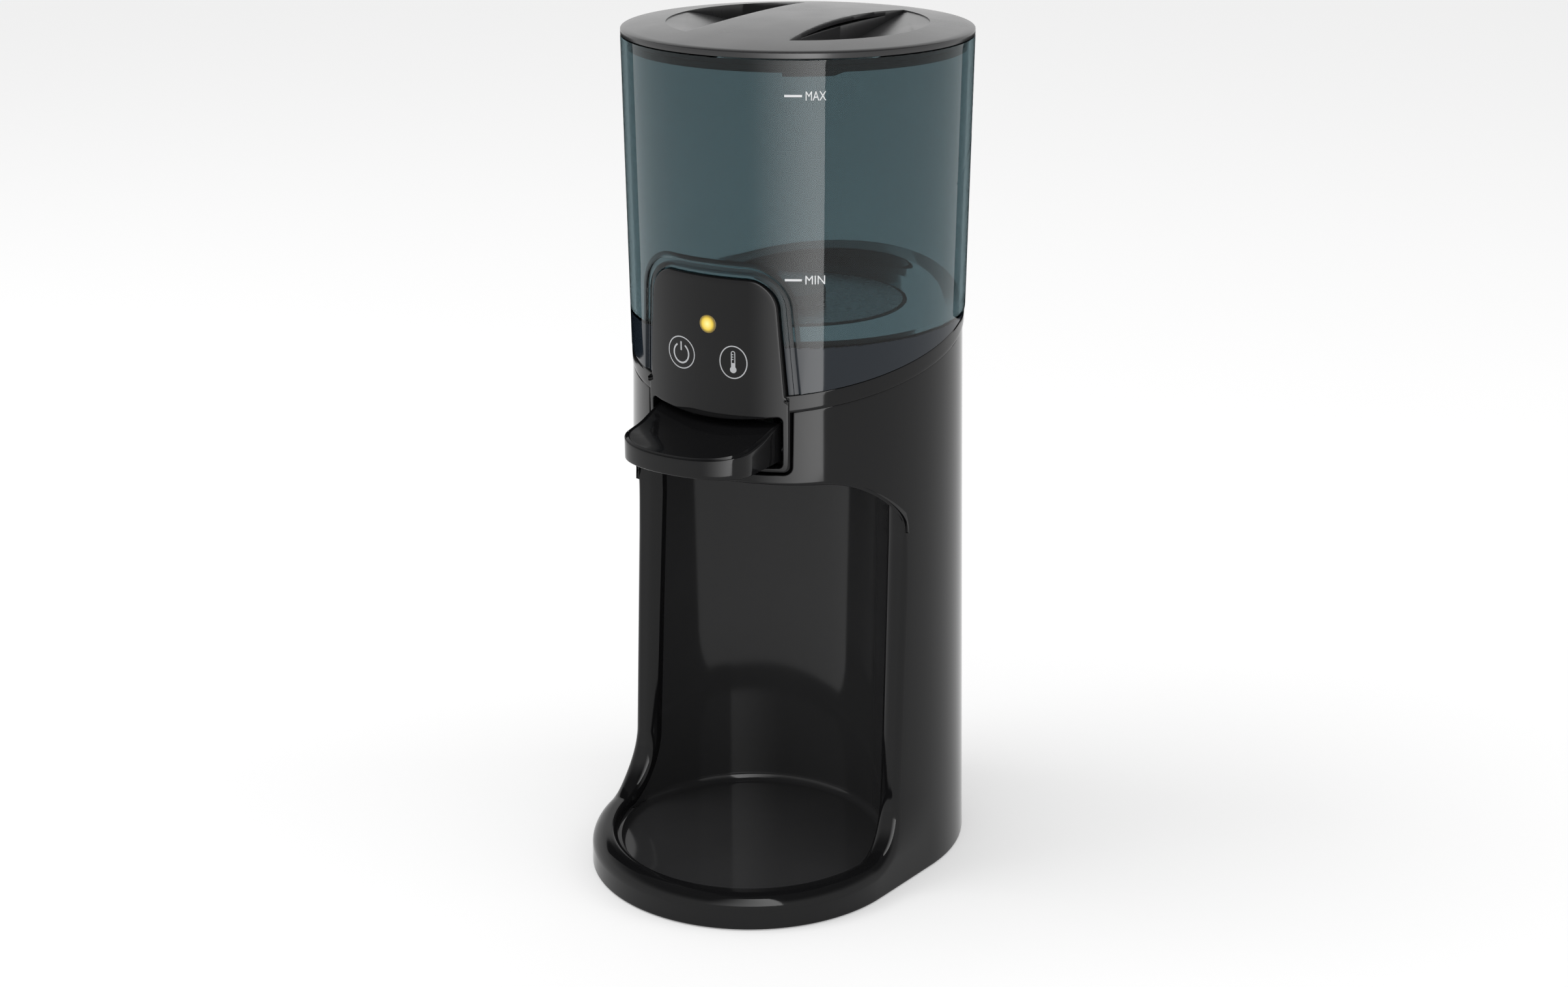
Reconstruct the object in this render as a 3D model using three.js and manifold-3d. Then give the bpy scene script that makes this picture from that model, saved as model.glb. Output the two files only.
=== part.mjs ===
// Bottle warmer: a tinted water tank on a black column, a heater in the tank's floor, and a
// thumb lever that opens a gravity tap over the bottle niche.
// Millimetres, +Z up, front towards -Y. Every piece is drawn about the column's own axis, and the
// last group moves them all so that the origin is the middle of the footprint, on the table.

import * as THREE from 'three';
import { mergeVertices } from 'three/addons/utils/BufferGeometryUtils.js';
import Module from 'manifold-3d';

const wasm = await Module();
wasm.setup();

// Clearances
const seatGap = 0.3;
const cutOverrun = 15;

// Column, tray and niche
const wall = 2.5;
const columnTopRadius = 70.5;
const columnFlare = 4.6;
const columnFootRadius = columnTopRadius + columnFlare;
const spoutReach = 39.2;
const nicheRadius = 59.5;
const lipWidth = 11.3;
const trayRadius = nicheRadius + lipWidth;
const footHeight = 1.2;
const lipHeight = 15;
const lipRound = 6;
const armHeight = 42;
const armRun = 20;
const armStartReach = 50;
const flangeReachLow = 30;
const flangeReachHigh = 24.5;
const nicheFloorHeight = 8;
const nicheFloorFillet = 3.5;
const nicheCeilingHeight = 185.7;
const nicheCornerWidth = 22;
const nicheCornerDrop = 30.7;
const nicheShoulderHalfWidth = 68;
const nicheFootHalfWidth = 74.5;
const linerThickness = 2.3;
const linerFrontReach = 31;

// Slanted seam between column, collar and tank: heights on the axis, and the rise as a share of depth
const seamRise = 45.3;
const seamHeight = nicheCeilingHeight + seamRise;
const taperTopDrop = 6;
const columnTaperHeight = seamHeight - taperTopDrop;
const seamGap = 0.4;
const collarHeight = 7.3;
const seamSlopeShare = 0.232;
const collarLedge = 0.4;
const collarRadius = columnTopRadius + collarLedge;
const collarWidth = 6.1;
const collarBoreRadius = collarRadius - collarWidth;
const collarSpigotDepth = 6;

// Control panel and lever surround, one moulding with the collar
const panelProud = 0.25;
const panelFootRadius = collarRadius + panelProud;
const panelFlare = 0.55;
const panelTopRadius = panelFootRadius + panelFlare;
const panelThickness = 2.4;
const panelDepth = 12.35;
const panelBackReach = panelFootRadius - panelDepth;
const panelTopHalfWidth = 30;
const panelFootHalfWidth = 32.5;
const panelCornerRadius = 12.5;
const surroundHalfWidth = 34;
const surroundRise = 5.3;
const surroundBottomHeight = nicheCeilingHeight + surroundRise;
const surroundCornerRadius = 2.5;
const surroundGap = 1.5;
const leverOpeningHalfWidth = 31.5;
const surroundSillWidth = 1.9;
const leverOpeningBottomHeight = surroundBottomHeight + surroundSillWidth;
const leverOpeningSize = 21.6;
const leverOpeningTopHeight = leverOpeningBottomHeight + leverOpeningSize;
const leverOpeningCornerRadius = 2;
const surroundHeadWidth = 8.4;
const surroundTopHeight = leverOpeningTopHeight + surroundHeadWidth;
const panelHollowBottomHeight = surroundTopHeight - surroundSillWidth;
const panelSideHeight = 35.6;
const panelShoulderHeight = surroundTopHeight + panelSideHeight;
const panelTopHeight = panelShoulderHeight + panelCornerRadius;
const scoopHalfWidth = 25;
const scoopHeight = 4.2;
const scoopDepth = 3;

// Tank
const tankLedge = 0.2;
const tankFootRadius = collarRadius + tankLedge;
const tankFlare = 1.9;
const tankTopRadius = tankFootRadius + tankFlare;
const tankFootRise = 1;
const tankFootHeight = seamHeight + tankFootRise;
const tankFloorRise = 15;
const tankFloorHeight = seamHeight + tankFloorRise;
const tankDepth = 112.7;
const tankTopHeight = tankFloorHeight + tankDepth;
const tankWall = 2.4;
const pocketClearance = 0.4;
const tankCupRadius = collarBoreRadius - pocketClearance;
const archBandWidth = 4.8;
const archBandDepth = 1;
const heaterBossRadius = 3.5;
const heaterBossLength = 3;

// Lid
const lidRadius = tankTopRadius;
const lidRimThickness = 2.5;
const lidDomeRise = 4.5;
const lidEdgeRound = 0.6;
const lidWall = 2;
const lidLandWidth = 6;
const fingerBrimWidth = 18.7;
const fingerOuterRadius = lidRadius - fingerBrimWidth;
const gripWaistHalfWidth = 19.4;
const gripWaistReach = 10;
const gripSideRadius = 290;
const fingerFloorDepth = 9.7;
const rampRiseShare = 0.35;
const rampTurn = 58.6;
const rampRimReach = 41.8;
const linerPlateThickness = 1.8;
const skirtDepth = 5.3;
const skirtClearance = 1.4;
const skirtRadius = tankTopRadius - tankWall - skirtClearance;
const skirtThickness = 3.4;
const lidSealHeight = 2;
const lidSealWidth = 2;
const lidSealClearance = 0.4;

// Heater in the tank floor
const heaterCentre = 2;
const heaterPanRadius = 43.8;
const heaterFlangeWidth = 6.2;
const heaterFlangeRadius = heaterPanRadius + heaterFlangeWidth;
const heaterPlateThickness = 1.2;
const heaterProud = 0.3;
const floorHoleClearance = 2.2;
const floorHoleRadius = heaterPanRadius + floorHoleClearance;
const heaterSealThickness = 1.2;
const heaterSealLip = 1.6;
const elementRadius = 30;
const elementTubeRadius = 3.2;
const elementGapDegrees = 20;
const terminalRadius = 1.6;
const terminalLength = 6;
const clampThickness = 3;
const clampOverlap = 1.5;
const clampOuterRadius = heaterFlangeRadius + clampOverlap;
const clampInnerClearance = 1;
const clampInnerRadius = heaterPanRadius + clampInnerClearance;
const clampScrewOffset = 3;
const clampScrewCircle = clampOuterRadius + clampScrewOffset;
const clampEarRadius = 4.5;
const cutoutRadius = 7;
const cutoutHeight = 5.3;
const sensorRadius = 3.5;
const sensorHeight = 7;
const probeOffset = 14;
const probeSetback = 12;

// Outlet, hose and tap
const outletSetback = -4;
const outletFlangeRadius = 8;
const outletFlangeThickness = 1.5;
const outletStemRadius = 4.2;
const outletStemLength = 8;
const barbRadius = 2.6;
const barbLength = 8;
const barbBoreRadius = 1.6;
const outletNutRadius = 7;
const outletNutThickness = 2.9;
const strainerRadius = 14;
const strainerHeight = 5;
const strainerWall = 1.2;
const strainerSlotCount = 8;
const strainerSlotWidth = 2;
const hoseRadius = 4.5;
const hoseBoreRadius = 2.9;
const hoseBendRadius = 15;
const hoseClampRadius = 6;
const hoseClampWidth = 4;
const valveRadius = 9.4;
const valveHeight = 19.3;
const valveTopHeight = nicheCeilingHeight + valveHeight;
const valveSeatRise = 7.3;
const valveSeatHeight = nicheCeilingHeight + valveSeatRise;
const valveChamberRadius = 7;
const valveSeatRadius = 3.5;
const spigotRadius = 6.4;
const valveInletRise = 6;
const valveInletHeight = valveSeatHeight + valveInletRise;
const valveCapThickness = 3.2;
const plungerStemRadius = 2.2;
const plungerDiscRadius = 5.5;
const plungerDiscThickness = 1.7;
const plungerSealThickness = 1;
const plungerHeadRadius = 6;
const plungerHeadRise = 8.5;
const plungerHeadHeight = valveTopHeight + plungerHeadRise;
const plungerHeadThickness = 3;
const springCoilRadius = 4.6;
const springWireRadius = 0.5;
const springTurns = 5;
const nozzleFlangeRadius = 9;
const nozzleFlangeThickness = 1.5;
const nozzleTipRadius = 4.2;
const nozzleLength = 6;
const nozzleBoreRadius = 3;

// Lever, pin and bracket
const leverHalfWidth = 29.7;
const leverStraightReach = 84;
const leverTipDepth = 16.4;
const leverTipReach = leverStraightReach + leverTipDepth;
const leverBackReach = 61.5;
const leverBottomGap = 2.4;
const leverBottomHeight = leverOpeningBottomHeight + leverBottomGap;
const leverTipThickness = 8.2;
const leverTipHeight = leverBottomHeight + leverTipThickness;
const leverBendRise = 3;
const leverBendHeight = leverTipHeight + leverBendRise;
const leverBendReach = 86;
const leverMidRise = 4.7;
const leverMidHeight = leverTipHeight + leverMidRise;
const leverMidReach = 75;
const leverBackRise = 8.3;
const leverBackHeight = leverTipHeight + leverBackRise;
const leverRimWidth = 1.8;
const leverDishDepth = 1.4;
const hingeReach = 57;
const hingeRise = 5.6;
const hingeHeight = leverOpeningBottomHeight + hingeRise;
const hingeBarrelRadius = 3.6;
const hingeBarrelHalfLength = 25;
const pinRadius = 1.5;
const pinHalfLength = 29.5;
const forkHalfWidth = 9;
const forkSlotHalfWidth = 4;
const forkClearance = 0.3;
const forkCrownHeight = plungerHeadHeight - forkClearance;
const forkTipReach = 33.5;
const forkTipDrop = 0.9;
const forkThickness = 3.6;
const forkRootReach = 47;
const bracketThickness = 2;
const bracketHalfWidth = 32;
const bracketFrontReach = 56;
const bracketBackReach = 26;
const earThickness = 3;
const earTopRise = 4.3;
const earTopHeight = hingeHeight + earTopRise;
const earFrontReach = 60.6;
const earBackReach = 52;

// Light, touch keys and boards
const ledRise = 28.4;
const ledHeight = surroundTopHeight + ledRise;
const ledLensRadius = 4.2;
const ledSize = 5;
const keyRise = 14.1;
const keyHeight = surroundTopHeight + keyRise;
const keySpread = 12.8;
const keyPadRadius = 4;
const padWebThickness = 1.2;
const touchBoardInset = 9.65;
const touchBoardReach = panelFootRadius - touchBoardInset;
const boardThickness = 1.6;
const touchBoardHalfWidth = 22;
const touchBoardRise = 5.1;
const touchBoardBottomHeight = surroundTopHeight + touchBoardRise;
const touchBoardHeight = 38;
const touchBoardTopHeight = touchBoardBottomHeight + touchBoardHeight;
const mainBoardSetback = 38;
const mainBoardHalfWidth = 30;
const mainBoardBottomHeight = 55;
const mainBoardHeight = 70;
const mainBoardTopHeight = mainBoardBottomHeight + mainBoardHeight;
const standoffRadius = 3;
const standoffInset = 5;
const transformerSize = 24;
const transformerHeight = 27;
const relayWidth = 16;
const relayHeight = 19;
const relayDepth = 12;
const capacitorRadius = 5;
const capacitorLength = 14;
const connectorPitch = 12;
const connectorHeight = 6;
const connectorDepth = 6;

// Base, feet and inlet
const baseThickness = 2;
const basePadRadius = 4.6;
const basePadHeight = 4;
const baseBossRadius = 4.6;
const baseBossTopHeight = 22;
const baseBossInset = 7.2;
const baseBossCircle = columnFootRadius - baseBossInset;
const baseBossDegrees = [98, 145, 215, 262];
const ventSlotCount = 5;
const ventSlotLength = 26;
const ventSlotWidth = 2.6;
const ventSlotPitch = 6;
const ventSetback = 38;
const footPadRadius = 7;
const frontFootReach = 75;
const frontFootOffset = 42;
const rearFootSetback = 45;
const rearFootOffset = 45;
const inletHeight = 24;
const inletHalfWidth = 11.7;
const inletHalfHeight = 7.7;
const inletFaceInset = 1.5;
const inletFaceSetback = columnFootRadius - inletFaceInset;
const inletDepth = 21.6;
const inletBackSetback = inletFaceSetback - inletDepth;
const inletFlangeInset = 7.6;
const inletFlangeSetback = inletFaceSetback - inletFlangeInset;
const inletFlangeThickness = 3;
const inletFlangeBorder = 3.3;
const socketLobeRadius = 4.4;
const socketPitch = 8;
const socketDepth = 15;
const inletPinRadius = 1.2;
const inletPinLength = 11;

// Fasteners and leads
const screwHeadRadius = 2.7;
const screwHeadHeight = 1.8;
const screwShankRadius = 1.4;
const screwShankLength = 10;
const clampShankLength = 7;
const boardShankLength = 6;
const leadRadius = 1.1;
const leadBend = 4;
const twinSpacingShare = 0.9;
const ribbonHalfWidth = 5;
const ribbonThickness = 1;

// Facet counts
const columnFacets = 48;
const wideFacets = 36;
const smallFacets = 12;
const leadFacets = 6;
const springTurnPoints = 8;
const leadSteps = 12;
const cornerSteps = 6;
const skinSteps = 4;
const coarseSteps = 2;
const domeSteps = 4;

// Shapes and solids

const degree = Math.PI / 180;
const fullTurn = 360;
const farReach = columnFootRadius + spoutReach + trayRadius;
const highReach = tankTopHeight + farReach;

// A closed geometry as a solid, with its faces turned outwards.
function solidOf(geometry) {
  geometry.deleteAttribute('normal');
  geometry.deleteAttribute('uv');
  const merged = mergeVertices(geometry);
  const place = merged.getAttribute('position').array;
  const index = merged.getIndex().array;
  const corner = (i) => new THREE.Vector3().fromArray(place, index[i] * 3);
  const triVerts = [];
  let volume = 0;
  for (let i = 0; i < index.length; i += 3) {
    const [a, b, c] = [index[i], index[i + 1], index[i + 2]];
    if (a === b || b === c || c === a) continue;
    triVerts.push(a, b, c);
    volume += corner(i).dot(corner(i + 1).cross(corner(i + 2)));
  }
  if (volume < 0) triVerts.reverse();
  const mesh = { numProp: 3, vertProperties: new Float32Array(place), triVerts: new Uint32Array(triVerts) };
  return new wasm.Manifold(new wasm.Mesh(mesh));
}

function box(lowX, highX, lowY, highY, lowZ, highZ) {
  const geometry = new THREE.BoxGeometry(highX - lowX, highY - lowY, highZ - lowZ);
  return solidOf(geometry.translate((lowX + highX) / 2, (lowY + highY) / 2, (lowZ + highZ) / 2));
}

// A turned solid: the profile runs from the axis round to the axis, as [radius, height] pairs.
function turned(profile, x = 0, y = 0, facets = wideFacets) {
  const points = profile.map(([radius, height]) => new THREE.Vector2(radius, height));
  return solidOf(new THREE.LatheGeometry(points, facets).rotateX(Math.PI / 2).translate(x, y, 0));
}

function disc(radius, low, high, x = 0, y = 0, facets = wideFacets) {
  return turned([[0, low], [radius, low], [radius, high], [0, high]], x, y, facets);
}

function ring(outer, inner, low, high, x = 0, y = 0, facets = wideFacets) {
  return disc(outer, low, high, x, y, facets)
    .subtract(disc(inner, low - cutOverrun, high + cutOverrun, x, y, facets));
}

function cone(lowRadius, low, highRadius, high, facets = columnFacets) {
  return turned([[0, low], [lowRadius, low], [highRadius, high], [0, high]], 0, 0, facets);
}

function outline(points) {
  return new THREE.Shape(points.map(([u, v]) => new THREE.Vector2(u, v)));
}

// An outline in x and z, as deep as from lowY to highY.
function depthwise(points, lowY, highY) {
  const geometry = new THREE.ExtrudeGeometry(outline(points), { depth: highY - lowY, bevelEnabled: false });
  return solidOf(geometry.rotateX(Math.PI / 2).translate(0, highY, 0));
}

// An outline in y and z, as wide as from lowX to highX.
function widthwise(points, lowX, highX) {
  const geometry = new THREE.ExtrudeGeometry(outline(points), { depth: highX - lowX, bevelEnabled: false });
  const turn = new THREE.Matrix4().makeBasis(
    new THREE.Vector3(0, 1, 0), new THREE.Vector3(0, 0, 1), new THREE.Vector3(1, 0, 0));
  return solidOf(geometry.applyMatrix4(turn).translate(lowX, 0, 0));
}

// An outline in x and y, as high as from low to high.
function upright(points, low, high) {
  const geometry = new THREE.ExtrudeGeometry(outline(points), { depth: high - low, bevelEnabled: false });
  return solidOf(geometry.translate(0, 0, low));
}

// Points of an elliptical arc, from one angle to another in degrees.
function arc(u, v, radiusU, radiusV, from, to, steps = cornerSteps) {
  return Array.from({ length: steps + 1 }, (_, i) => {
    const angle = (from + (to - from) * i / steps) * degree;
    return [u + radiusU * Math.cos(angle), v + radiusV * Math.sin(angle)];
  });
}

function crossRod(radius, halfLength, y, z, facets = smallFacets) {
  const geometry = new THREE.CylinderGeometry(radius, radius, halfLength * 2, facets);
  return solidOf(geometry.rotateZ(Math.PI / 2).translate(0, y, z));
}

function depthRod(radius, lowY, highY, x, z, facets = smallFacets) {
  const geometry = new THREE.CylinderGeometry(radius, radius, highY - lowY, facets);
  return solidOf(geometry.translate(x, (lowY + highY) / 2, z));
}

// A solid tube, or a hose with a bore, along a smooth line of points.
function tube(curve, radius, steps, facets, bore = 0) {
  const lastTurn = fullTurn - fullTurn / facets;
  const section = outline(arc(0, 0, radius, radius, 0, lastTurn, facets - 1));
  if (bore > 0) section.holes.push(outline(arc(0, 0, bore, bore, 0, lastTurn, facets - 1)));
  return solidOf(new THREE.ExtrudeGeometry(section, { steps, extrudePath: curve, bevelEnabled: false }));
}

function throughPoints(points) {
  return new THREE.CatmullRomCurve3(points.map((p) => new THREE.Vector3(...p)), false, 'centripetal');
}

function joined(solids) {
  return solids.reduce((whole, solid) => whole.add(solid));
}

// Everything between two levels that slant with the seam, lowest at the front.
function slantedLayer(low, high) {
  const geometry = new THREE.BoxGeometry(farReach * 2, farReach * 2, high - low);
  const shear = new THREE.Matrix4().set(
    1, 0, 0, 0,
    0, 1, 0, 0,
    0, seamSlopeShare, 1, (low + high) / 2,
    0, 0, 0, 1);
  return solidOf(geometry.applyMatrix4(shear));
}

// A pan-head screw that points up from its head.
function screw(x, y, headHeight, shankLength) {
  const shoulder = headHeight + screwHeadHeight;
  const tip = shoulder + shankLength;
  return turned([
    [0, headHeight], [screwHeadRadius, headHeight], [screwHeadRadius, shoulder],
    [screwShankRadius, shoulder], [screwShankRadius, tip], [0, tip],
  ], x, y, smallFacets);
}

const group = new THREE.Group();
const footprintMiddle = (columnFootRadius - spoutReach - trayRadius) / 2;
group.position.set(0, -footprintMiddle, 0);

function addPiece(name, solid, colour, roughness, metalness = 0) {
  const { vertProperties, triVerts } = solid.getMesh();
  const geometry = new THREE.BufferGeometry();
  geometry.setAttribute('position', new THREE.BufferAttribute(new Float32Array(vertProperties), 3));
  geometry.setIndex(new THREE.BufferAttribute(new Uint32Array(triVerts), 1));
  const material = new THREE.MeshStandardMaterial({ color: colour, roughness, metalness });
  const mesh = new THREE.Mesh(geometry, material);
  mesh.name = name;
  group.add(mesh);
}

const glossBlack = 0x1a1a1b;
const satinGrey = 0x9a9a9c;
const smokeTeal = 0x3c5058;
const sealBlack = 0x202022;
const steel = 0xb9bcc0;
const brass = 0xb59a52;
const boardGreen = 0x1f5a3a;
const milkWhite = 0xd9d9d4;
const lampYellow = 0xf2d21f;

// Column skin
// Its footprint wraps the column's circle and the tray's circle. The straight sides fade out above
// the lip, and in front the lip's outer edge is rounded.

const sideAngle = Math.acos((columnFootRadius - trayRadius) / spoutReach);
const trayTangentAngle = Math.atan2(
  trayRadius * Math.sin(sideAngle), spoutReach + trayRadius * Math.cos(sideAngle));

function footprintRadius(angle) {
  const turn = Math.abs(angle);
  if (turn >= sideAngle) return columnFootRadius;
  if (turn >= trayTangentAngle) return columnFootRadius / Math.cos(turn - sideAngle);
  const side = spoutReach * Math.sin(turn);
  return spoutReach * Math.cos(turn) + Math.sqrt(trayRadius ** 2 - side ** 2);
}

function columnRadius(height) {
  return columnFootRadius + (columnTopRadius - columnFootRadius) * height / columnTaperHeight;
}

function skinRadius(angle, height) {
  const spread = footprintRadius(angle) - columnFootRadius;
  const rise = THREE.MathUtils.smoothstep(height, lipHeight, armHeight);
  const climb = THREE.MathUtils.clamp(height - (lipHeight - lipRound), 0, lipRound);
  const rounding = lipRound - Math.sqrt(lipRound ** 2 - climb ** 2);
  const frontShare = 1 - THREE.MathUtils.smoothstep(Math.abs(angle), trayTangentAngle, sideAngle);
  return columnRadius(height) + (spread - rounding * frontShare) * (1 - rise);
}

function skinSolid(inset, low, high, steps = coarseSteps) {
  const lipLevels = arc(0, lipHeight - lipRound, lipRound, lipRound, 0, 90, steps);
  const armLevels = Array.from({ length: steps }, (_, i) => (
    lipHeight + (armHeight - lipHeight) * (i + 1) / steps));
  const levels = [low, ...lipLevels.map(([, z]) => z), ...armLevels, high];
  const places = [0, 0, low, 0, 0, high];
  const faces = [];
  levels.forEach((z, row) => {
    for (let i = 0; i < columnFacets; i += 1) {
      const angle = THREE.MathUtils.euclideanModulo(i / columnFacets + 0.5, 1) * Math.PI * 2 - Math.PI;
      const radius = skinRadius(angle, z) - inset;
      places.push(radius * Math.sin(angle), -radius * Math.cos(angle), z);
      const next = (i + 1) % columnFacets;
      const here = 2 + row * columnFacets;
      if (row === 0) faces.push(0, here + next, here + i);
      if (row === levels.length - 1) faces.push(1, here + i, here + next);
      if (row > 0) {
        const below = here - columnFacets;
        faces.push(below + i, below + next, here + next, below + i, here + next, here + i);
      }
    }
  });
  const geometry = new THREE.BufferGeometry();
  geometry.setAttribute('position', new THREE.BufferAttribute(new Float32Array(places), 3));
  geometry.setIndex(faces);
  return solidOf(geometry);
}

// Niche: a round well about the spout's axis, open to the front above the lip, with arms that
// sweep up from the lip to the column's sides and an arched ceiling. Grown, it leaves the wall.

function nicheVoid(grow) {
  const floor = nicheFloorHeight - grow;
  const radius = nicheRadius + grow;
  const top = nicheCeilingHeight + cutOverrun;
  const fillet = arc(
    nicheRadius - nicheFloorFillet, nicheFloorHeight + nicheFloorFillet,
    nicheFloorFillet + grow, nicheFloorFillet + grow, -90, 0, cornerSteps / 2);
  const well = turned([[0, floor], ...fillet, [radius, top], [0, top]], 0, -spoutReach, columnFacets);
  const shoulder = nicheCeilingHeight - nicheCornerDrop;
  const archRight = arc(
    nicheShoulderHalfWidth - nicheCornerWidth, shoulder,
    nicheCornerWidth + grow, nicheCornerDrop + grow, 0, 90, cornerSteps * 2);
  const archLeft = archRight.map(([x, z]) => [-x, z]).reverse();
  const foot = nicheFootHalfWidth + grow;
  const arch = depthwise([[foot, 0], ...archRight, ...archLeft, [-foot, 0]], -farReach, farReach);
  const sweep = arc(-armStartReach, armHeight, armRun + grow, armHeight - lipHeight + grow, -90, 0);
  const front = widthwise([
    [-farReach, lipHeight - grow], ...sweep,
    [-flangeReachHigh + grow, shoulder], [-flangeReachHigh + grow, top], [-farReach, top],
  ], -farReach, farReach);
  return well.add(front).intersect(arch);
}

const columnTopLevel = seamHeight - seamGap;
const columnOuter = skinSolid(0, footHeight, highReach, skinSteps)
  .intersect(slantedLayer(-farReach, columnTopLevel));
const columnHollow = skinSolid(wall, -cutOverrun, highReach);
const columnShell = columnOuter
  .subtract(nicheVoid(0))
  .subtract(columnHollow.subtract(nicheVoid(linerThickness)));

// The liner is the part of that shell round the well: its back wall, ceiling and floor.
function linerZone(grow) {
  const reach = nicheRadius + linerThickness + grow;
  const top = nicheCeilingHeight + linerThickness + grow;
  const back = box(-farReach, farReach, -linerFrontReach - grow, farReach, 0, top);
  const crown = box(-farReach, farReach, -farReach, farReach, nicheCeilingHeight - nicheCornerDrop, top);
  const floorRadius = nicheRadius - nicheFloorFillet - seatGap + grow;
  return back.add(crown)
    .intersect(disc(reach, 0, top, 0, -spoutReach, columnFacets))
    .intersect(skinSolid(wall + seatGap - grow, 0, highReach))
    .add(disc(floorRadius, 0, nicheFloorHeight + seatGap, 0, -spoutReach, columnFacets));
}

// Control panel outline in front view. Grown, it is the pocket that the panel stands in.
function panelOutline(grow) {
  const corner = panelCornerRadius + grow;
  const shoulderX = panelTopHalfWidth - panelCornerRadius;
  const right = [
    [surroundHalfWidth + grow, surroundTopHeight + grow],
    [panelFootHalfWidth + grow, surroundTopHeight + grow],
    ...arc(shoulderX, panelShoulderHeight, corner, corner, 0, 90),
  ];
  const foot = arc(
    surroundHalfWidth - surroundCornerRadius, surroundBottomHeight + surroundCornerRadius,
    surroundCornerRadius + grow, surroundCornerRadius + grow, -90, 0, cornerSteps / 2);
  const half = [...foot, ...right];
  return [...half, ...half.map(([x, z]) => [-x, z]).reverse()];
}

// Only the arch above the lever surround, for the tank's pocket.
function archOutline(grow) {
  const corner = panelCornerRadius + grow;
  const shoulderX = panelTopHalfWidth - panelCornerRadius;
  const half = [
    [panelFootHalfWidth + grow, surroundBottomHeight],
    [panelFootHalfWidth + grow, surroundTopHeight],
    ...arc(shoulderX, panelShoulderHeight, corner, corner, 0, 90),
  ];
  return [...half, ...half.map(([x, z]) => [-x, z]).reverse()];
}

function panelCone(inset) {
  return cone(
    panelFootRadius - inset, surroundBottomHeight - cutOverrun,
    panelTopRadius - inset, panelTopHeight + cutOverrun);
}

// Screw bosses inside the foot of the column
const baseBossPlaces = baseBossDegrees.map((turn) => [
  baseBossCircle * Math.sin(turn * degree), -baseBossCircle * Math.cos(turn * degree)]);
const basePadTop = footHeight + seatGap + basePadHeight;
const baseBosses = joined(baseBossPlaces.map(([x, y]) => (
  disc(baseBossRadius, basePadTop + seatGap, baseBossTopHeight, x, y, smallFacets))))
  .intersect(skinSolid(wall / 2, 0, highReach));
const baseBossHoles = joined(baseBossPlaces.map(([x, y]) => (
  disc(screwShankRadius + seatGap, 0, baseBossTopHeight - wall, x, y, smallFacets))));

const surroundCut = depthwise(
  panelOutline(surroundGap), -farReach, -panelBackReach + cutOverrun);
const inletCut = box(
  -inletHalfWidth - seatGap, inletHalfWidth + seatGap, inletFlangeSetback, farReach,
  inletHeight - inletHalfHeight - seatGap, inletHeight + inletHalfHeight + seatGap);

addPiece('body_housing', columnShell
  .subtract(linerZone(seatGap))
  .add(baseBosses)
  .subtract(baseBossHoles)
  .subtract(surroundCut)
  .subtract(inletCut), glossBlack, 0.12);

// Standoffs on the liner's back carry the main board: screws in the upper two, pegs on the lower two.
const standoffX = mainBoardHalfWidth - standoffInset;
const boardScrewPlaces = [-1, 1].map((side) => [side * standoffX, mainBoardTopHeight - standoffInset]);
const boardPegPlaces = [-1, 1].map((side) => [side * standoffX, mainBoardBottomHeight + standoffInset]);
const standoffPlaces = [...boardScrewPlaces, ...boardPegPlaces];
const wellBack = disc(
  nicheRadius + linerThickness / 2, 0, nicheCeilingHeight, 0, -spoutReach, columnFacets);
const standoffs = joined([
  ...standoffPlaces.map(([x, z]) => depthRod(standoffRadius, 0, mainBoardSetback - seatGap, x, z)),
  ...boardPegPlaces.map(([x, z]) => depthRod(screwShankRadius, 0, mainBoardSetback + boardThickness, x, z)),
]).subtract(wellBack);
const standoffHoles = joined(boardScrewPlaces.map(([x, z]) => (
  depthRod(screwShankRadius + seatGap, mainBoardSetback - boardShankLength - wall,
    mainBoardSetback + cutOverrun, x, z))));

addPiece('niche_liner', columnShell
  .intersect(linerZone(0))
  .add(standoffs)
  .subtract(standoffHoles)
  .subtract(disc(
    spigotRadius + seatGap, nicheCeilingHeight - cutOverrun, highReach, 0, -spoutReach, smallFacets)),
glossBlack, 0.14);

// Collar, control panel and lever surround in one moulding
const collarTop = seamHeight + collarHeight - seatGap;
const spigotOuter = columnRadius(seamHeight + seamSlopeShare * columnTopRadius) - wall - seatGap;
const collarBore = disc(collarBoreRadius, 0, highReach, 0, 0, columnFacets);
const collarRing = disc(collarRadius, 0, highReach, 0, 0, columnFacets)
  .intersect(slantedLayer(seamHeight, collarTop))
  .add(disc(spigotOuter, 0, highReach, 0, 0, columnFacets)
    .intersect(slantedLayer(seamHeight - collarSpigotDepth, seamHeight + seatGap)))
  .subtract(collarBore);
const panelBlock = depthwise(panelOutline(0), -farReach, -panelBackReach).intersect(panelCone(0));
const panelHollow = depthwise(archOutline(-panelThickness), -farReach, cutOverrun)
  .intersect(panelCone(panelThickness))
  .intersect(box(-farReach, farReach, -farReach, farReach, panelHollowBottomHeight, highReach));
const surroundHollow = depthwise([
  [surroundHalfWidth - panelThickness, leverOpeningBottomHeight],
  [surroundHalfWidth - panelThickness, panelHollowBottomHeight - panelThickness],
  [-surroundHalfWidth + panelThickness, panelHollowBottomHeight - panelThickness],
  [-surroundHalfWidth + panelThickness, leverOpeningBottomHeight],
], -farReach, cutOverrun).intersect(panelCone(panelThickness * 2));
const openingCornerX = leverOpeningHalfWidth - leverOpeningCornerRadius;
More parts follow.
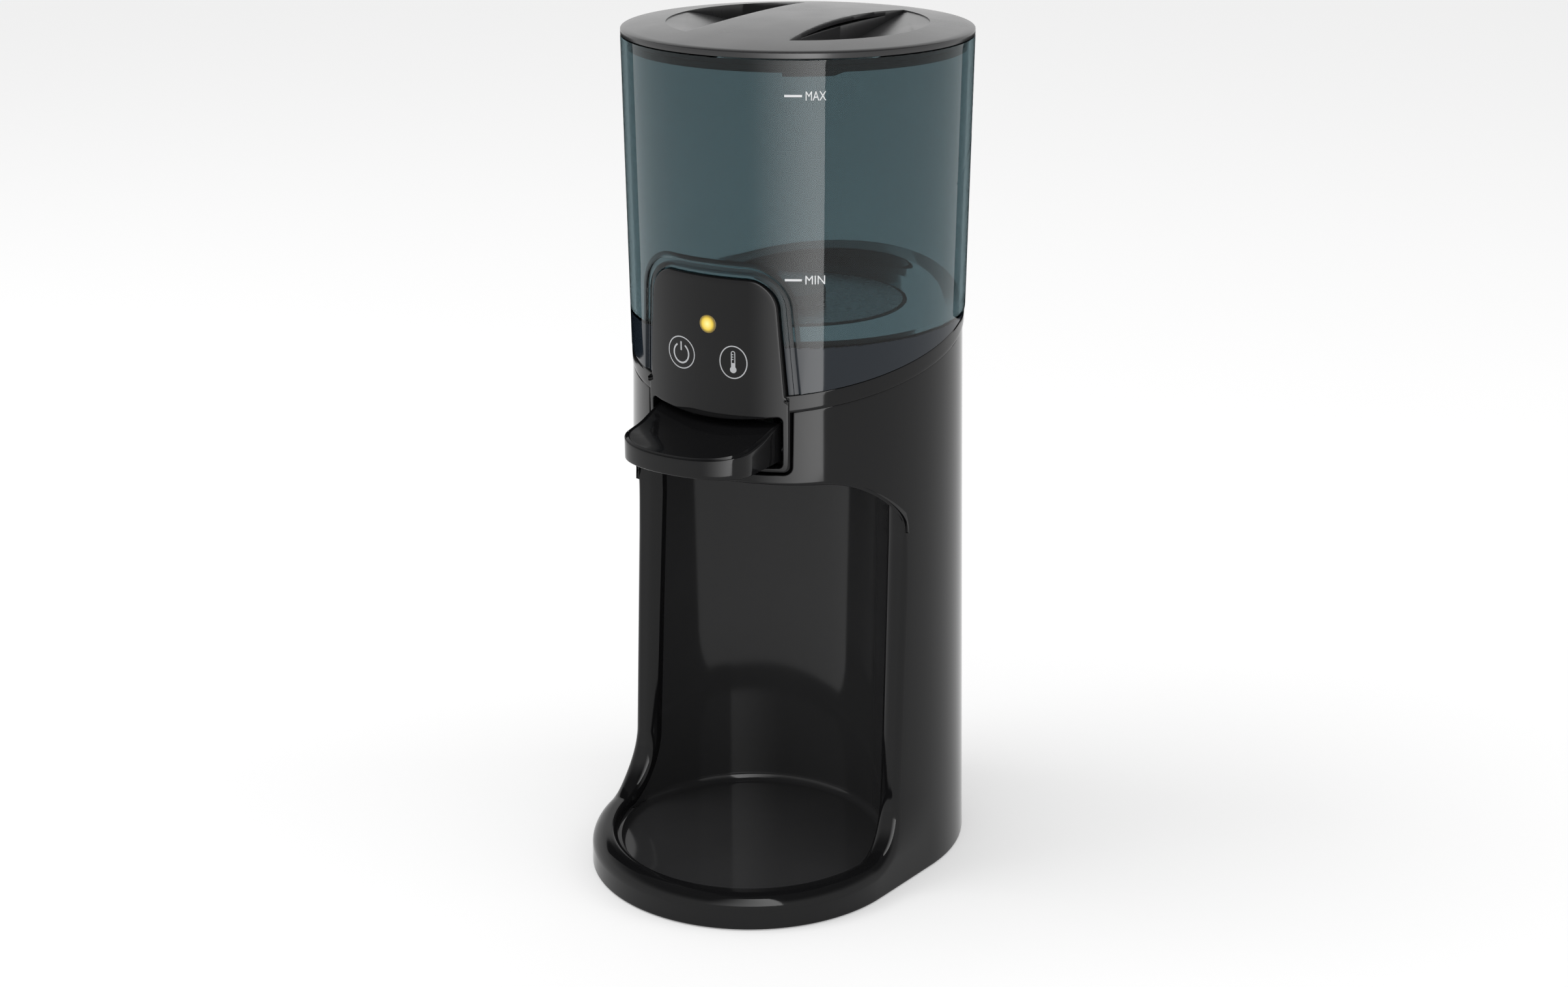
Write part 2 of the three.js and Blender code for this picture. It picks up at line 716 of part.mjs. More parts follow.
const openingHalf = [
  ...arc(openingCornerX, leverOpeningBottomHeight + leverOpeningCornerRadius,
    leverOpeningCornerRadius, leverOpeningCornerRadius, -90, 0, cornerSteps / 2),
  ...arc(openingCornerX, leverOpeningTopHeight - leverOpeningCornerRadius,
    leverOpeningCornerRadius, leverOpeningCornerRadius, 0, 90, cornerSteps / 2),
];
const leverOpening = depthwise(
  [...openingHalf, ...openingHalf.map(([x, z]) => [-x, z]).reverse()], -farReach, cutOverrun);
const scoop = depthwise(
  arc(0, leverOpeningTopHeight, scoopHalfWidth, scoopHeight, 0, 180, cornerSteps * 2), -farReach, 0)
  .subtract(panelCone(scoopDepth));
const ledHole = depthRod(ledLensRadius + seatGap, -farReach, -touchBoardReach, 0, ledHeight);

addPiece('collar_fascia', collarRing
  .subtract(depthwise(panelOutline(-panelThickness), -farReach, 0))
  .add(panelBlock)
  .subtract(panelHollow)
  .subtract(surroundHollow)
  .subtract(leverOpening)
  .subtract(scoop)
  .subtract(ledHole), glossBlack, 0.12);

// Tank
// Its wall stands on the collar, and behind the collar a smaller cup goes down to the level floor.
// In front it is recessed in an arch for the control panel.
function tankCone(inset) {
  const flare = (tankTopRadius - tankFootRadius) / (tankTopHeight - tankFootHeight);
  const low = tankFloorHeight - farReach;
  const high = tankTopHeight + cutOverrun;
  const at = (height) => tankFootRadius + flare * (height - tankFootHeight) - inset;
  return cone(at(low), low, at(high), high);
}

const tankSeat = seamHeight + collarHeight;
const floorUnderside = tankFloorHeight - tankWall;
const aboveSeat = slantedLayer(tankSeat, highReach);
const belowRim = box(-farReach, farReach, -farReach, farReach, 0, tankTopHeight);
const tankCup = disc(tankCupRadius, floorUnderside, tankTopHeight, 0, 0, columnFacets);
const tankEnvelope = tankCone(0).intersect(aboveSeat).add(tankCup.intersect(tankCone(0))).intersect(belowRim);
const upperWater = tankCone(tankWall)
  .intersect(slantedLayer(tankSeat + tankWall, highReach))
  .intersect(box(-farReach, farReach, -farReach, farReach, tankFloorHeight, highReach));
const lowerWater = disc(tankCupRadius - tankWall, tankFloorHeight, tankTopHeight, 0, 0, columnFacets);
const skirtSpace = tankCone(tankWall)
  .intersect(box(-farReach, farReach, -farReach, farReach, 0, floorUnderside));
const pocketGrow = pocketClearance + tankWall;
const pocketShell = depthwise(archOutline(pocketGrow), -farReach, -panelBackReach + pocketGrow);
const pocketSpace = depthwise(archOutline(pocketClearance), -farReach, -panelBackReach + pocketClearance);
const archBand = depthwise(archOutline(archBandWidth), -farReach, 0).subtract(tankCone(archBandDepth));
const heaterBossPlaces = [90, 210, 330].map((turn) => [
  clampScrewCircle * Math.cos(turn * degree), heaterCentre + clampScrewCircle * Math.sin(turn * degree)]);
const heaterBosses = joined(heaterBossPlaces.map(([x, y]) => (
  disc(heaterBossRadius, floorUnderside - heaterBossLength, floorUnderside + seatGap, x, y, smallFacets))));
const heaterBossHoles = joined(heaterBossPlaces.map(([x, y]) => (
  disc(screwShankRadius + seatGap, 0, tankFloorHeight - tankWall / 2, x, y, smallFacets))));

addPiece('water_tank', tankEnvelope
  .subtract(upperWater.add(lowerWater).add(skirtSpace).subtract(pocketShell))
  .subtract(pocketSpace)
  .subtract(archBand)
  .subtract(disc(floorHoleRadius, 0, tankFloorHeight + seatGap, 0, heaterCentre))
  .add(heaterBosses)
  .subtract(heaterBossHoles), smokeTeal, 0.06);

// Lid: a domed cap with two finger recesses either side of the grip, a liner and a seal ring
const lidUnderside = tankTopHeight + seatGap;
const lidRimTop = lidUnderside + lidRimThickness;

function domeHeight(radius) {
  return lidRimTop + lidDomeRise * (1 - (radius / lidRadius) ** 2);
}

function domeSolid(radius, low, inset, steps = coarseSteps) {
  const crownRadii = Array.from({ length: steps + 1 }, (_, i) => radius * (1 - i / steps));
  const crown = crownRadii.map((r) => [r, domeHeight(r) - inset]);
  return turned([[0, low], [radius, low], ...crown], 0, 0, columnFacets);
}

// The floor of a recess is level at one end and climbs to the brim at the other.
function fingerRecess(side, grow) {
  const gripCircle = gripWaistHalfWidth + gripSideRadius;
  const plan = disc(fingerOuterRadius + grow, 0, highReach, 0, 0, columnFacets)
    .intersect(disc(
      gripSideRadius + grow, 0, highReach, side * gripCircle, side * gripWaistReach, columnFacets * 2));
  const floor = lidRimTop - fingerFloorDepth - grow;
  const rampFoot = rampRimReach - fingerFloorDepth / rampRiseShare;
  const rampHead = lidRimTop - grow + rampRiseShare * (lidRadius - rampRimReach);
  const depth = widthwise([
    [-lidRadius, floor], [rampFoot, floor], [lidRadius, rampHead], [lidRadius, highReach], [-lidRadius, highReach],
  ], -farReach, farReach).rotate([0, 0, side > 0 ? -rampTurn : fullTurn / 2 - rampTurn]);
  return plan.intersect(depth);
}

const fingerRecesses = (grow) => fingerRecess(-1, grow).add(fingerRecess(1, grow));
const lidRimEdge = turned([
  [0, lidUnderside], [lidRadius, lidUnderside], [lidRadius, lidRimTop - lidEdgeRound],
  ...arc(lidRadius - lidEdgeRound, lidRimTop - lidEdgeRound,
    lidEdgeRound, lidEdgeRound, 0, 90, cornerSteps / 2),
  [0, lidRimTop],
], 0, 0, columnFacets);
const lidCrown = domeSolid(lidRadius - lidEdgeRound, lidUnderside, 0, domeSteps);
const lidCavity = domeSolid(lidRadius - lidLandWidth, lidUnderside - cutOverrun, lidWall);
const recessWalls = fingerRecesses(lidWall).intersect(domeSolid(lidRadius - lidLandWidth, 0, 0));

addPiece('lid_cap', lidRimEdge.add(lidCrown)
  .subtract(lidCavity)
  .add(recessWalls)
  .subtract(fingerRecesses(0)), satinGrey, 0.35);

const skirtTop = tankTopHeight;
const skirtBottom = skirtTop - skirtDepth;
const sealLow = skirtBottom + (skirtDepth - linerPlateThickness - lidSealHeight) / 2;
const sealOuter = tankTopRadius - tankWall - lidSealClearance;
const sealInner = sealOuter - lidSealWidth;
const sealGroove = ring(
  skirtRadius + cutOverrun, sealInner - seatGap, sealLow - seatGap, sealLow + lidSealHeight + seatGap,
  0, 0, columnFacets);

addPiece('lid_liner', disc(skirtRadius, skirtBottom, skirtTop, 0, 0, columnFacets)
  .subtract(disc(skirtRadius - skirtThickness, 0, skirtTop - linerPlateThickness, 0, 0, columnFacets))
  .subtract(sealGroove)
  .subtract(fingerRecesses(lidWall + seatGap)), satinGrey, 0.5);
addPiece('lid_seal', ring(
  sealOuter, sealInner, sealLow, sealLow + lidSealHeight, 0, 0, columnFacets), sealBlack, 0.7);

// Heater: a pressed steel plate that closes the tank floor, sealed and clamped from below
const sealTop = floorUnderside - seatGap;
const flangeTop = sealTop - heaterSealThickness - seatGap;
const flangeBottom = flangeTop - heaterPlateThickness;
const panTop = tankFloorHeight + heaterProud;
const panUnderside = panTop - heaterPlateThickness;

addPiece('heater_seal', ring(
  heaterFlangeRadius, heaterPanRadius + seatGap, sealTop - heaterSealThickness, sealTop, 0, heaterCentre)
  .add(ring(
    heaterPanRadius + seatGap + heaterSealLip, heaterPanRadius + seatGap, sealTop - heaterSealThickness,
    tankFloorHeight, 0, heaterCentre)), sealBlack, 0.7);

const outletHole = disc(outletStemRadius + seatGap, 0, highReach, 0, outletSetback, smallFacets);
addPiece('heater_plate', turned([
  [0, panUnderside], [heaterPanRadius - heaterPlateThickness, panUnderside],
  [heaterPanRadius - heaterPlateThickness, flangeBottom], [heaterFlangeRadius, flangeBottom],
  [heaterFlangeRadius, flangeTop], [heaterPanRadius, flangeTop], [heaterPanRadius, panTop], [0, panTop],
], 0, heaterCentre).subtract(outletHole), steel, 0.3, 0.9);

const elementHeight = panUnderside - seatGap - elementTubeRadius;
const elementEnds = [90 - elementGapDegrees / 2, 90 + elementGapDegrees / 2];
const elementPlace = (turn) => [
  elementRadius * Math.cos(turn * degree), heaterCentre + elementRadius * Math.sin(turn * degree)];
const elementLine = throughPoints(
  arc(0, heaterCentre, elementRadius, elementRadius, elementEnds[1], elementEnds[0] + fullTurn, smallFacets)
    .map(([x, y]) => [x, y, elementHeight]));
addPiece('heater_element', joined([
  tube(elementLine, elementTubeRadius, smallFacets * 2, leadFacets + 2),
  ...elementEnds.map((turn) => disc(
    terminalRadius, elementHeight - terminalLength, elementHeight, ...elementPlace(turn), leadFacets)),
]), steel, 0.4, 0.8);

const clampTop = flangeBottom - seatGap;
const clampBottom = clampTop - clampThickness;
addPiece('heater_clamp_ring', joined([
  disc(clampOuterRadius, clampBottom, clampTop, 0, heaterCentre),
  ...heaterBossPlaces.map(([x, y]) => disc(clampEarRadius, clampBottom, clampTop, x, y, smallFacets)),
])
  .subtract(disc(clampInnerRadius, 0, highReach, 0, heaterCentre))
  .subtract(heaterBossHoles), steel, 0.4, 0.8);
heaterBossPlaces.forEach(([x, y], i) => {
  const head = clampBottom - seatGap - screwHeadHeight;
  const place = ['rear', 'left', 'right'][i];
  addPiece(`clamp_screw_${place}`, screw(x, y, head, clampShankLength), steel, 0.35, 0.9);
});

const probeTop = panUnderside - seatGap;
addPiece('thermal_cutout', disc(
  cutoutRadius, probeTop - cutoutHeight, probeTop, probeOffset, probeSetback, smallFacets), milkWhite, 0.5);
addPiece('temperature_sensor', disc(
  sensorRadius, probeTop - sensorHeight, probeTop, -probeOffset, probeSetback, smallFacets),
brass, 0.35, 0.9);

// Outlet from the tank: a fitting through the heater plate with its strainer and nut
const outletFlangeLow = panTop + seatGap;
const outletFlangeHigh = outletFlangeLow + outletFlangeThickness;
const stemLow = outletFlangeLow - outletStemLength;
const barbLow = stemLow - barbLength;
addPiece('outlet_fitting', turned([
  [0, barbLow], [barbRadius, barbLow], [barbRadius, stemLow], [outletStemRadius, stemLow],
  [outletStemRadius, outletFlangeLow], [outletFlangeRadius, outletFlangeLow],
  [outletFlangeRadius, outletFlangeHigh], [0, outletFlangeHigh],
], 0, outletSetback, smallFacets)
  .subtract(disc(barbBoreRadius, 0, highReach, 0, outletSetback, smallFacets)), milkWhite, 0.5);

const nutHigh = panUnderside - seatGap;
addPiece('outlet_nut', disc(
  outletNutRadius, nutHigh - outletNutThickness, nutHigh, 0, outletSetback, leadFacets)
  .subtract(outletHole), milkWhite, 0.5);

const strainerLow = panTop + seatGap;
const strainerSlots = joined(Array.from({ length: strainerSlotCount / 2 }, (_, i) => (
  solidOf(new THREE.BoxGeometry(strainerRadius * 3, strainerSlotWidth, strainerHeight / 2)
    .rotateZ(Math.PI * 2 * i / strainerSlotCount)
    .translate(0, outletSetback, strainerLow + strainerHeight / 2)))));
const strainerHigh = strainerLow + strainerHeight;
addPiece('outlet_strainer', disc(strainerRadius, strainerLow, strainerHigh, 0, outletSetback)
  .subtract(disc(strainerRadius - strainerWall, 0, strainerHigh - strainerWall, 0, outletSetback))
  .subtract(strainerSlots.subtract(disc(
    outletFlangeRadius + seatGap, 0, highReach, 0, outletSetback, smallFacets))), sealBlack, 0.5);

// Tap under the tank: valve body with a side inlet, bonnet, plunger, seal and spring
const liftAxis = -spoutReach;
const valveFoot = nicheCeilingHeight + linerThickness + seatGap;
const inletBarbEnd = liftAxis + valveRadius + barbLength;
addPiece('valve_body', joined([
  disc(valveRadius, valveFoot, valveTopHeight, 0, liftAxis, smallFacets * 2),
  disc(spigotRadius, nicheCeilingHeight + seatGap, valveFoot, 0, liftAxis, smallFacets),
  depthRod(barbRadius, liftAxis, inletBarbEnd, 0, valveInletHeight),
])
  .subtract(disc(valveChamberRadius, valveSeatHeight, highReach, 0, liftAxis, smallFacets * 2))
  .subtract(disc(valveSeatRadius, 0, highReach, 0, liftAxis, smallFacets))
  .subtract(depthRod(barbBoreRadius, liftAxis, inletBarbEnd + cutOverrun, 0, valveInletHeight)),
milkWhite, 0.5);

const capLow = valveTopHeight + seatGap;
addPiece('valve_cap', ring(
  valveRadius, plungerStemRadius + seatGap, capLow, capLow + valveCapThickness, 0, liftAxis,
  smallFacets * 2), milkWhite, 0.5);

const sealLift = valveSeatHeight + seatGap;
const discLow = sealLift + plungerSealThickness + seatGap;
const discHigh = discLow + plungerDiscThickness;
addPiece('plunger_seal', disc(
  plungerDiscRadius, sealLift, sealLift + plungerSealThickness, 0, liftAxis, smallFacets), sealBlack, 0.7);
addPiece('valve_plunger', turned([
  [0, discLow], [plungerDiscRadius, discLow], [plungerDiscRadius, discHigh], [plungerStemRadius, discHigh],
  [plungerStemRadius, plungerHeadHeight], [plungerHeadRadius, plungerHeadHeight],
  [plungerHeadRadius, plungerHeadHeight + plungerHeadThickness],
  [0, plungerHeadHeight + plungerHeadThickness],
], 0, liftAxis, smallFacets), milkWhite, 0.5);

// The spring pushes the plunger down onto its seat and so lifts the lever back up.
const springLow = discHigh + seatGap + springWireRadius;
const springHigh = valveTopHeight - springWireRadius;
const springPoints = springTurns * springTurnPoints;
const springLine = throughPoints(Array.from({ length: springPoints + 1 }, (_, i) => {
  const turn = i / springTurnPoints * Math.PI * 2;
  const share = i / springPoints;
  return [springCoilRadius * Math.cos(turn), liftAxis + springCoilRadius * Math.sin(turn),
    springLow + (springHigh - springLow) * share];
}));
addPiece('valve_spring', tube(springLine, springWireRadius, springPoints, leadFacets - 1), steel, 0.3, 0.9);

const nozzleTop = nicheCeilingHeight - seatGap;
addPiece('outlet_nozzle', turned([
  [0, nozzleTop - nozzleLength], [nozzleTipRadius, nozzleTop - nozzleLength],
  [spigotRadius, nozzleTop - nozzleFlangeThickness], [nozzleFlangeRadius, nozzleTop - nozzleFlangeThickness],
  [nozzleFlangeRadius, nozzleTop], [0, nozzleTop],
], 0, liftAxis, smallFacets * 2)
  .subtract(disc(nozzleBoreRadius, 0, highReach, 0, liftAxis, smallFacets)), glossBlack, 0.2);

// Hose from the outlet's barb down and forward to the tap's barb
const hoseTop = stemLow - seatGap;
const hoseEnd = liftAxis + valveRadius + seatGap;
const hoseCorner = outletSetback - hoseBendRadius;
const hoseLine = new THREE.CurvePath();
hoseLine.add(new THREE.LineCurve3(
  new THREE.Vector3(0, outletSetback, hoseTop),
  new THREE.Vector3(0, outletSetback, valveInletHeight + hoseBendRadius)));
hoseLine.add(new THREE.QuadraticBezierCurve3(
  new THREE.Vector3(0, outletSetback, valveInletHeight + hoseBendRadius),
  new THREE.Vector3(0, outletSetback, valveInletHeight),
  new THREE.Vector3(0, hoseCorner, valveInletHeight)));
hoseLine.add(new THREE.LineCurve3(
  new THREE.Vector3(0, hoseCorner, valveInletHeight), new THREE.Vector3(0, hoseEnd, valveInletHeight)));
addPiece('outlet_hose', tube(hoseLine, hoseRadius, leadSteps, smallFacets, hoseBoreRadius), milkWhite, 0.6);
const clampMiddle = barbLength / 2;
addPiece('hose_clamp_upper', ring(
  hoseClampRadius, hoseRadius + seatGap, stemLow - clampMiddle - hoseClampWidth / 2,
  stemLow - clampMiddle + hoseClampWidth / 2, 0, outletSetback, smallFacets), steel, 0.35, 0.9);
addPiece('hose_clamp_lower', depthRod(
  hoseClampRadius, hoseEnd + clampMiddle - hoseClampWidth / 2, hoseEnd + clampMiddle + hoseClampWidth / 2,
  0, valveInletHeight)
  .subtract(depthRod(
    hoseRadius + seatGap, hoseEnd - cutOverrun, hoseEnd + cutOverrun, 0, valveInletHeight)),
steel, 0.35, 0.9);

// Lever: a paddle with a rounded front and a dished top, a hinge barrel and a fork that lifts the plunger
function paddlePlan(inset) {
  const half = leverHalfWidth - inset;
  const tip = arc(0, -leverStraightReach, half, leverTipDepth - inset, 0, -180, cornerSteps * 3);
  return [[half, -leverBackReach], ...tip, [-half, -leverBackReach]];
}

function paddleSide(drop) {
  return [
    [-leverBackReach, leverBottomHeight], [-leverBackReach, leverBackHeight - drop],
    [-leverMidReach, leverMidHeight - drop], [-leverBendReach, leverBendHeight - drop],
    [-leverTipReach - cutOverrun, leverTipHeight - drop],
    [-leverTipReach - cutOverrun, leverBottomHeight],
  ];
}

const paddleTop = leverBackHeight + cutOverrun;
const paddle = upright(paddlePlan(0), leverBottomHeight, paddleTop)
  .intersect(widthwise(paddleSide(0), -farReach, farReach));
const dish = upright(paddlePlan(leverRimWidth), leverBottomHeight, paddleTop)
  .subtract(widthwise(paddleSide(leverDishDepth), -farReach, farReach));
const barrelRoot = box(
  -hingeBarrelHalfLength, hingeBarrelHalfLength, -leverBackReach - leverRimWidth, -hingeReach,
  leverBottomHeight, hingeHeight + hingeBarrelRadius);
const forkUnderside = forkCrownHeight - forkThickness;
const armBack = hingeReach - hingeBarrelRadius;
const forkRoot = -leverBackReach - leverRimWidth;
const forkArm = widthwise([
  [forkRoot, hingeHeight], [forkRoot, hingeHeight + hingeBarrelRadius * 2],
  [-hingeReach, forkCrownHeight], [-spoutReach, forkCrownHeight],
  [-forkTipReach, forkCrownHeight - forkTipDrop], [-forkTipReach, forkUnderside],
  [-armBack, forkUnderside], [-armBack, hingeHeight],
], -forkHalfWidth, forkHalfWidth);
const forkSlot = box(
  -forkSlotHalfWidth, forkSlotHalfWidth, -forkRootReach, 0, forkUnderside - cutOverrun, highReach);

addPiece('dispense_lever', paddle
  .subtract(dish)
  .add(crossRod(hingeBarrelRadius, hingeBarrelHalfLength, -hingeReach, hingeHeight))
  .add(barrelRoot)
  .add(forkArm)
  .subtract(forkSlot)
  .subtract(crossRod(pinRadius + seatGap, farReach, -hingeReach, hingeHeight)), glossBlack, 0.16);
addPiece('lever_pin', crossRod(pinRadius, pinHalfLength, -hingeReach, hingeHeight), steel, 0.25, 0.95);

// Tap bracket: stands on the niche's ceiling, holds the valve body and carries the pin
const bracketTop = valveFoot + bracketThickness;
const earInner = hingeBarrelHalfLength + seatGap;
const earOuter = earInner + earThickness;
const earChamfer = (earTopHeight - hingeHeight) / 2;
const earOutline = [
  [-earBackReach, valveFoot], [-bracketFrontReach, valveFoot], [-bracketFrontReach, bracketTop],
  [-earFrontReach, hingeHeight - earChamfer], [-earFrontReach, hingeHeight + earChamfer],
  [-earFrontReach + earChamfer, earTopHeight], [-earBackReach, earTopHeight],
];
const bracketScrewPlaces = [-1, 1].map((side) => [
  side * (bracketHalfWidth - basePadRadius), -bracketBackReach - basePadRadius]);
addPiece('tap_bracket', joined([
  box(-bracketHalfWidth, bracketHalfWidth, -bracketFrontReach, -bracketBackReach, valveFoot, bracketTop),
  widthwise(earOutline, earInner, earOuter),
  widthwise(earOutline, -earOuter, -earInner),
])
  .subtract(disc(valveRadius + seatGap, 0, highReach, 0, liftAxis, smallFacets * 2))
  .subtract(joined(bracketScrewPlaces.map(([x, y]) => (
    disc(screwShankRadius + seatGap, 0, highReach, x, y, smallFacets)))))
  .subtract(crossRod(pinRadius + seatGap, farReach, -hingeReach, hingeHeight)), sealBlack, 0.5);
const bracketScrewShank = bracketThickness - seatGap;
bracketScrewPlaces.forEach(([x, y], i) => {
  addPiece(`bracket_screw_${['left', 'right'][i]}`, turned([
    [0, bracketTop - bracketScrewShank], [screwShankRadius, bracketTop - bracketScrewShank],
    [screwShankRadius, bracketTop + seatGap], [screwHeadRadius, bracketTop + seatGap],
    [screwHeadRadius, bracketTop + seatGap + screwHeadHeight], [0, bracketTop + seatGap + screwHeadHeight],
  ], x, y, smallFacets), steel, 0.35, 0.9);
});

// Light and touch keys behind the control panel
const touchBoardFront = -touchBoardReach - boardThickness;
const ledFront = touchBoardFront - seatGap - boardThickness;
addPiece('touch_board', box(
  -touchBoardHalfWidth, touchBoardHalfWidth, touchBoardFront, -touchBoardReach,
  touchBoardBottomHeight, touchBoardTopHeight), boardGreen, 0.5);
addPiece('status_led', box(
  -ledSize / 2, ledSize / 2, ledFront, touchBoardFront - seatGap, ledHeight - ledSize / 2,
  ledHeight + ledSize / 2), milkWhite, 0.4);
addPiece('led_lens', depthRod(ledLensRadius, -farReach, ledFront - seatGap, 0, ledHeight)
  .intersect(panelCone(0)), lampYellow, 0.3);
const panelInner = panelFootRadius - panelThickness;
const padFront = -Math.sqrt(panelInner ** 2 - (keySpread + keyPadRadius) ** 2) + seatGap;
const padBack = touchBoardFront - seatGap;
addPiece('touch_pads', joined([
  ...[-1, 1].map((side) => depthRod(keyPadRadius, padFront, padBack, side * keySpread, keyHeight)),
  box(-keySpread, keySpread, padBack - padWebThickness, padBack, keyHeight - keyPadRadius / 2,
    keyHeight + keyPadRadius / 2),
]), sealBlack, 0.8);

// Base plate with vents, its screws, and the rubber feet
const baseLow = footHeight + seatGap;
const baseHigh = baseLow + baseThickness;
const padBoreRadius = screwHeadRadius + seatGap;
const headSeat = baseLow + seatGap + screwHeadHeight;
const basePads = joined(baseBossPlaces.map(([x, y]) => (
  disc(basePadRadius, baseLow, basePadTop, x, y, smallFacets))));
const baseScrewSpace = joined(baseBossPlaces.map(([x, y]) => (
  disc(padBoreRadius, 0, headSeat, x, y, smallFacets)
    .add(disc(screwShankRadius + seatGap, 0, highReach, x, y, smallFacets)))));
const ventSlots = joined(Array.from({ length: ventSlotCount }, (_, i) => {
  const front = ventSetback + ventSlotPitch * (i - (ventSlotCount - 1) / 2) - ventSlotWidth / 2;
  return box(-ventSlotLength / 2, ventSlotLength / 2, front, front + ventSlotWidth, 0, highReach);
}));
addPiece('base_plate', box(-farReach, farReach, -farReach, farReach, baseLow, baseHigh)
  .add(basePads)
  .intersect(skinSolid(wall + seatGap, 0, highReach))
  .subtract(baseScrewSpace)
  .subtract(ventSlots), sealBlack, 0.6);
baseBossPlaces.forEach(([x, y], i) => {
  const name = `base_screw_${['front_right', 'rear_right', 'rear_left', 'front_left'][i]}`;
  addPiece(name, screw(x, y, headSeat - seatGap - screwHeadHeight, screwShankLength), steel, 0.35, 0.9);
});

const feet = {
  foot_front_left: [-frontFootOffset, -frontFootReach],
  foot_front_right: [frontFootOffset, -frontFootReach],
  foot_rear_left: [-rearFootOffset, rearFootSetback],
  foot_rear_right: [rearFootOffset, rearFootSetback],
};
Object.entries(feet).forEach(([name, [x, y]]) => {
  addPiece(name, disc(footPadRadius, 0, footHeight, x, y, smallFacets * 2), sealBlack, 0.9);
});

// Power inlet: a two-pin socket that faces back through the foot of the column
const socketSpace = joined([
  ...[-1, 1].map((side) => depthRod(
    socketLobeRadius, inletFaceSetback - socketDepth, farReach, side * socketPitch / 2, inletHeight)),
  box(-socketPitch / 2, socketPitch / 2, inletFaceSetback - socketDepth, farReach,
    inletHeight - socketLobeRadius, inletHeight + socketLobeRadius),
]);
const flangeHalfWidth = inletHalfWidth + inletFlangeBorder;
const flangeHalfHeight = inletHalfHeight + inletFlangeBorder;
addPiece('power_inlet', box(
  -inletHalfWidth, inletHalfWidth, inletBackSetback, inletFaceSetback,
  inletHeight - inletHalfHeight, inletHeight + inletHalfHeight)
  .add(box(-flangeHalfWidth, flangeHalfWidth, inletFlangeSetback, inletFlangeSetback + inletFlangeThickness,
    inletHeight - flangeHalfHeight, inletHeight + flangeHalfHeight))
  .subtract(socketSpace), sealBlack, 0.5);
const pinBack = inletFaceSetback - socketDepth + seatGap;
[-1, 1].forEach((side, i) => {
  addPiece(`inlet_pin_${['left', 'right'][i]}`, depthRod(
    inletPinRadius, pinBack, pinBack + inletPinLength, side * socketPitch / 2, inletHeight, leadFacets * 2),
  brass, 0.3, 0.95);
});

// Main board behind the niche, and what stands on it
const boardBack = mainBoardSetback + boardThickness;
const boardScrewHoles = joined(standoffPlaces.map(([x, z]) => (
  depthRod(screwShankRadius + seatGap, 0, farReach, x, z))));
addPiece('control_board', box(
  -mainBoardHalfWidth, mainBoardHalfWidth, mainBoardSetback, boardBack,
  mainBoardBottomHeight, mainBoardTopHeight)
  .subtract(boardScrewHoles), boardGreen, 0.5);
boardScrewPlaces.forEach(([x, z], i) => {
  addPiece(`board_screw_${['left', 'right'][i]}`, depthRod(
    screwShankRadius, mainBoardSetback - boardShankLength, boardBack + seatGap * 2, x, z)
    .add(depthRod(screwHeadRadius, boardBack + seatGap, boardBack + seatGap + screwHeadHeight, x, z)),
  steel, 0.35, 0.9);
});

const partFront = boardBack + seatGap;
const transformerLow = mainBoardBottomHeight + standoffInset * 2;
addPiece('board_transformer', box(
  -transformerSize / 2, transformerSize / 2, partFront, partFront + transformerSize * 2 / 3,
  transformerLow, transformerLow + transformerHeight), brass, 0.6, 0.2);
const relayLow = transformerLow + transformerHeight + standoffInset;
addPiece('board_relay', box(
  -mainBoardHalfWidth + standoffInset * 2, -mainBoardHalfWidth + standoffInset * 2 + relayWidth, partFront,
  partFront + relayDepth, relayLow, relayLow + relayHeight), sealBlack, 0.4);
addPiece('board_capacitor', depthRod(
  capacitorRadius, partFront, partFront + capacitorLength, standoffInset * 2, relayLow + capacitorRadius),
sealBlack, 0.35);
const plugTop = mainBoardTopHeight - standoffInset / 2;
const plugPlaces = [-connectorPitch, 0, connectorPitch];
addPiece('board_connectors', box(
  plugPlaces[0] - connectorPitch / 2, plugPlaces[2] + connectorPitch / 2, partFront,
  partFront + connectorDepth, plugTop - connectorHeight, plugTop), milkWhite, 0.5);

// Twin leads, face to face from terminal to terminal: apart at the ends and side by side between
const plugDepth = partFront + connectorDepth / 2;
const plugLeadHeight = plugTop + seatGap;
const twinOffset = leadRadius * twinSpacingShare;

function twinLead(halves) {
  return joined(halves.map((points) => tube(throughPoints(points), leadRadius, leadSteps, leadFacets)));
}

addPiece('heater_leads', twinLead(elementEnds.map((turn) => {
  const [x, y] = elementPlace(turn);
  const start = elementHeight - terminalLength - seatGap;
  const near = Math.sign(x) * twinOffset;
  return [
    [x, y, start], [x, y, start - clampThickness], [near, plugDepth, seamHeight - cutOverrun],
    [near, plugDepth, nicheCeilingHeight], [near, plugDepth, plugLeadHeight],
  ];
})), 0x9a2f24, 0.6);

addPiece('sensor_leads', twinLead([-1, 1].map((side) => {
  const x = -probeOffset + side * twinOffset;
  const start = probeTop - sensorHeight - seatGap;
  const near = plugPlaces[0] + side * twinOffset;
  return [
    [x, probeSetback, start], [x, probeSetback, start - clampThickness],
    [near, plugDepth, nicheCeilingHeight + cutOverrun], [near, plugDepth, nicheCeilingHeight],
    [near, plugDepth, plugLeadHeight],
  ];
})), 0x2b2b2e, 0.6);

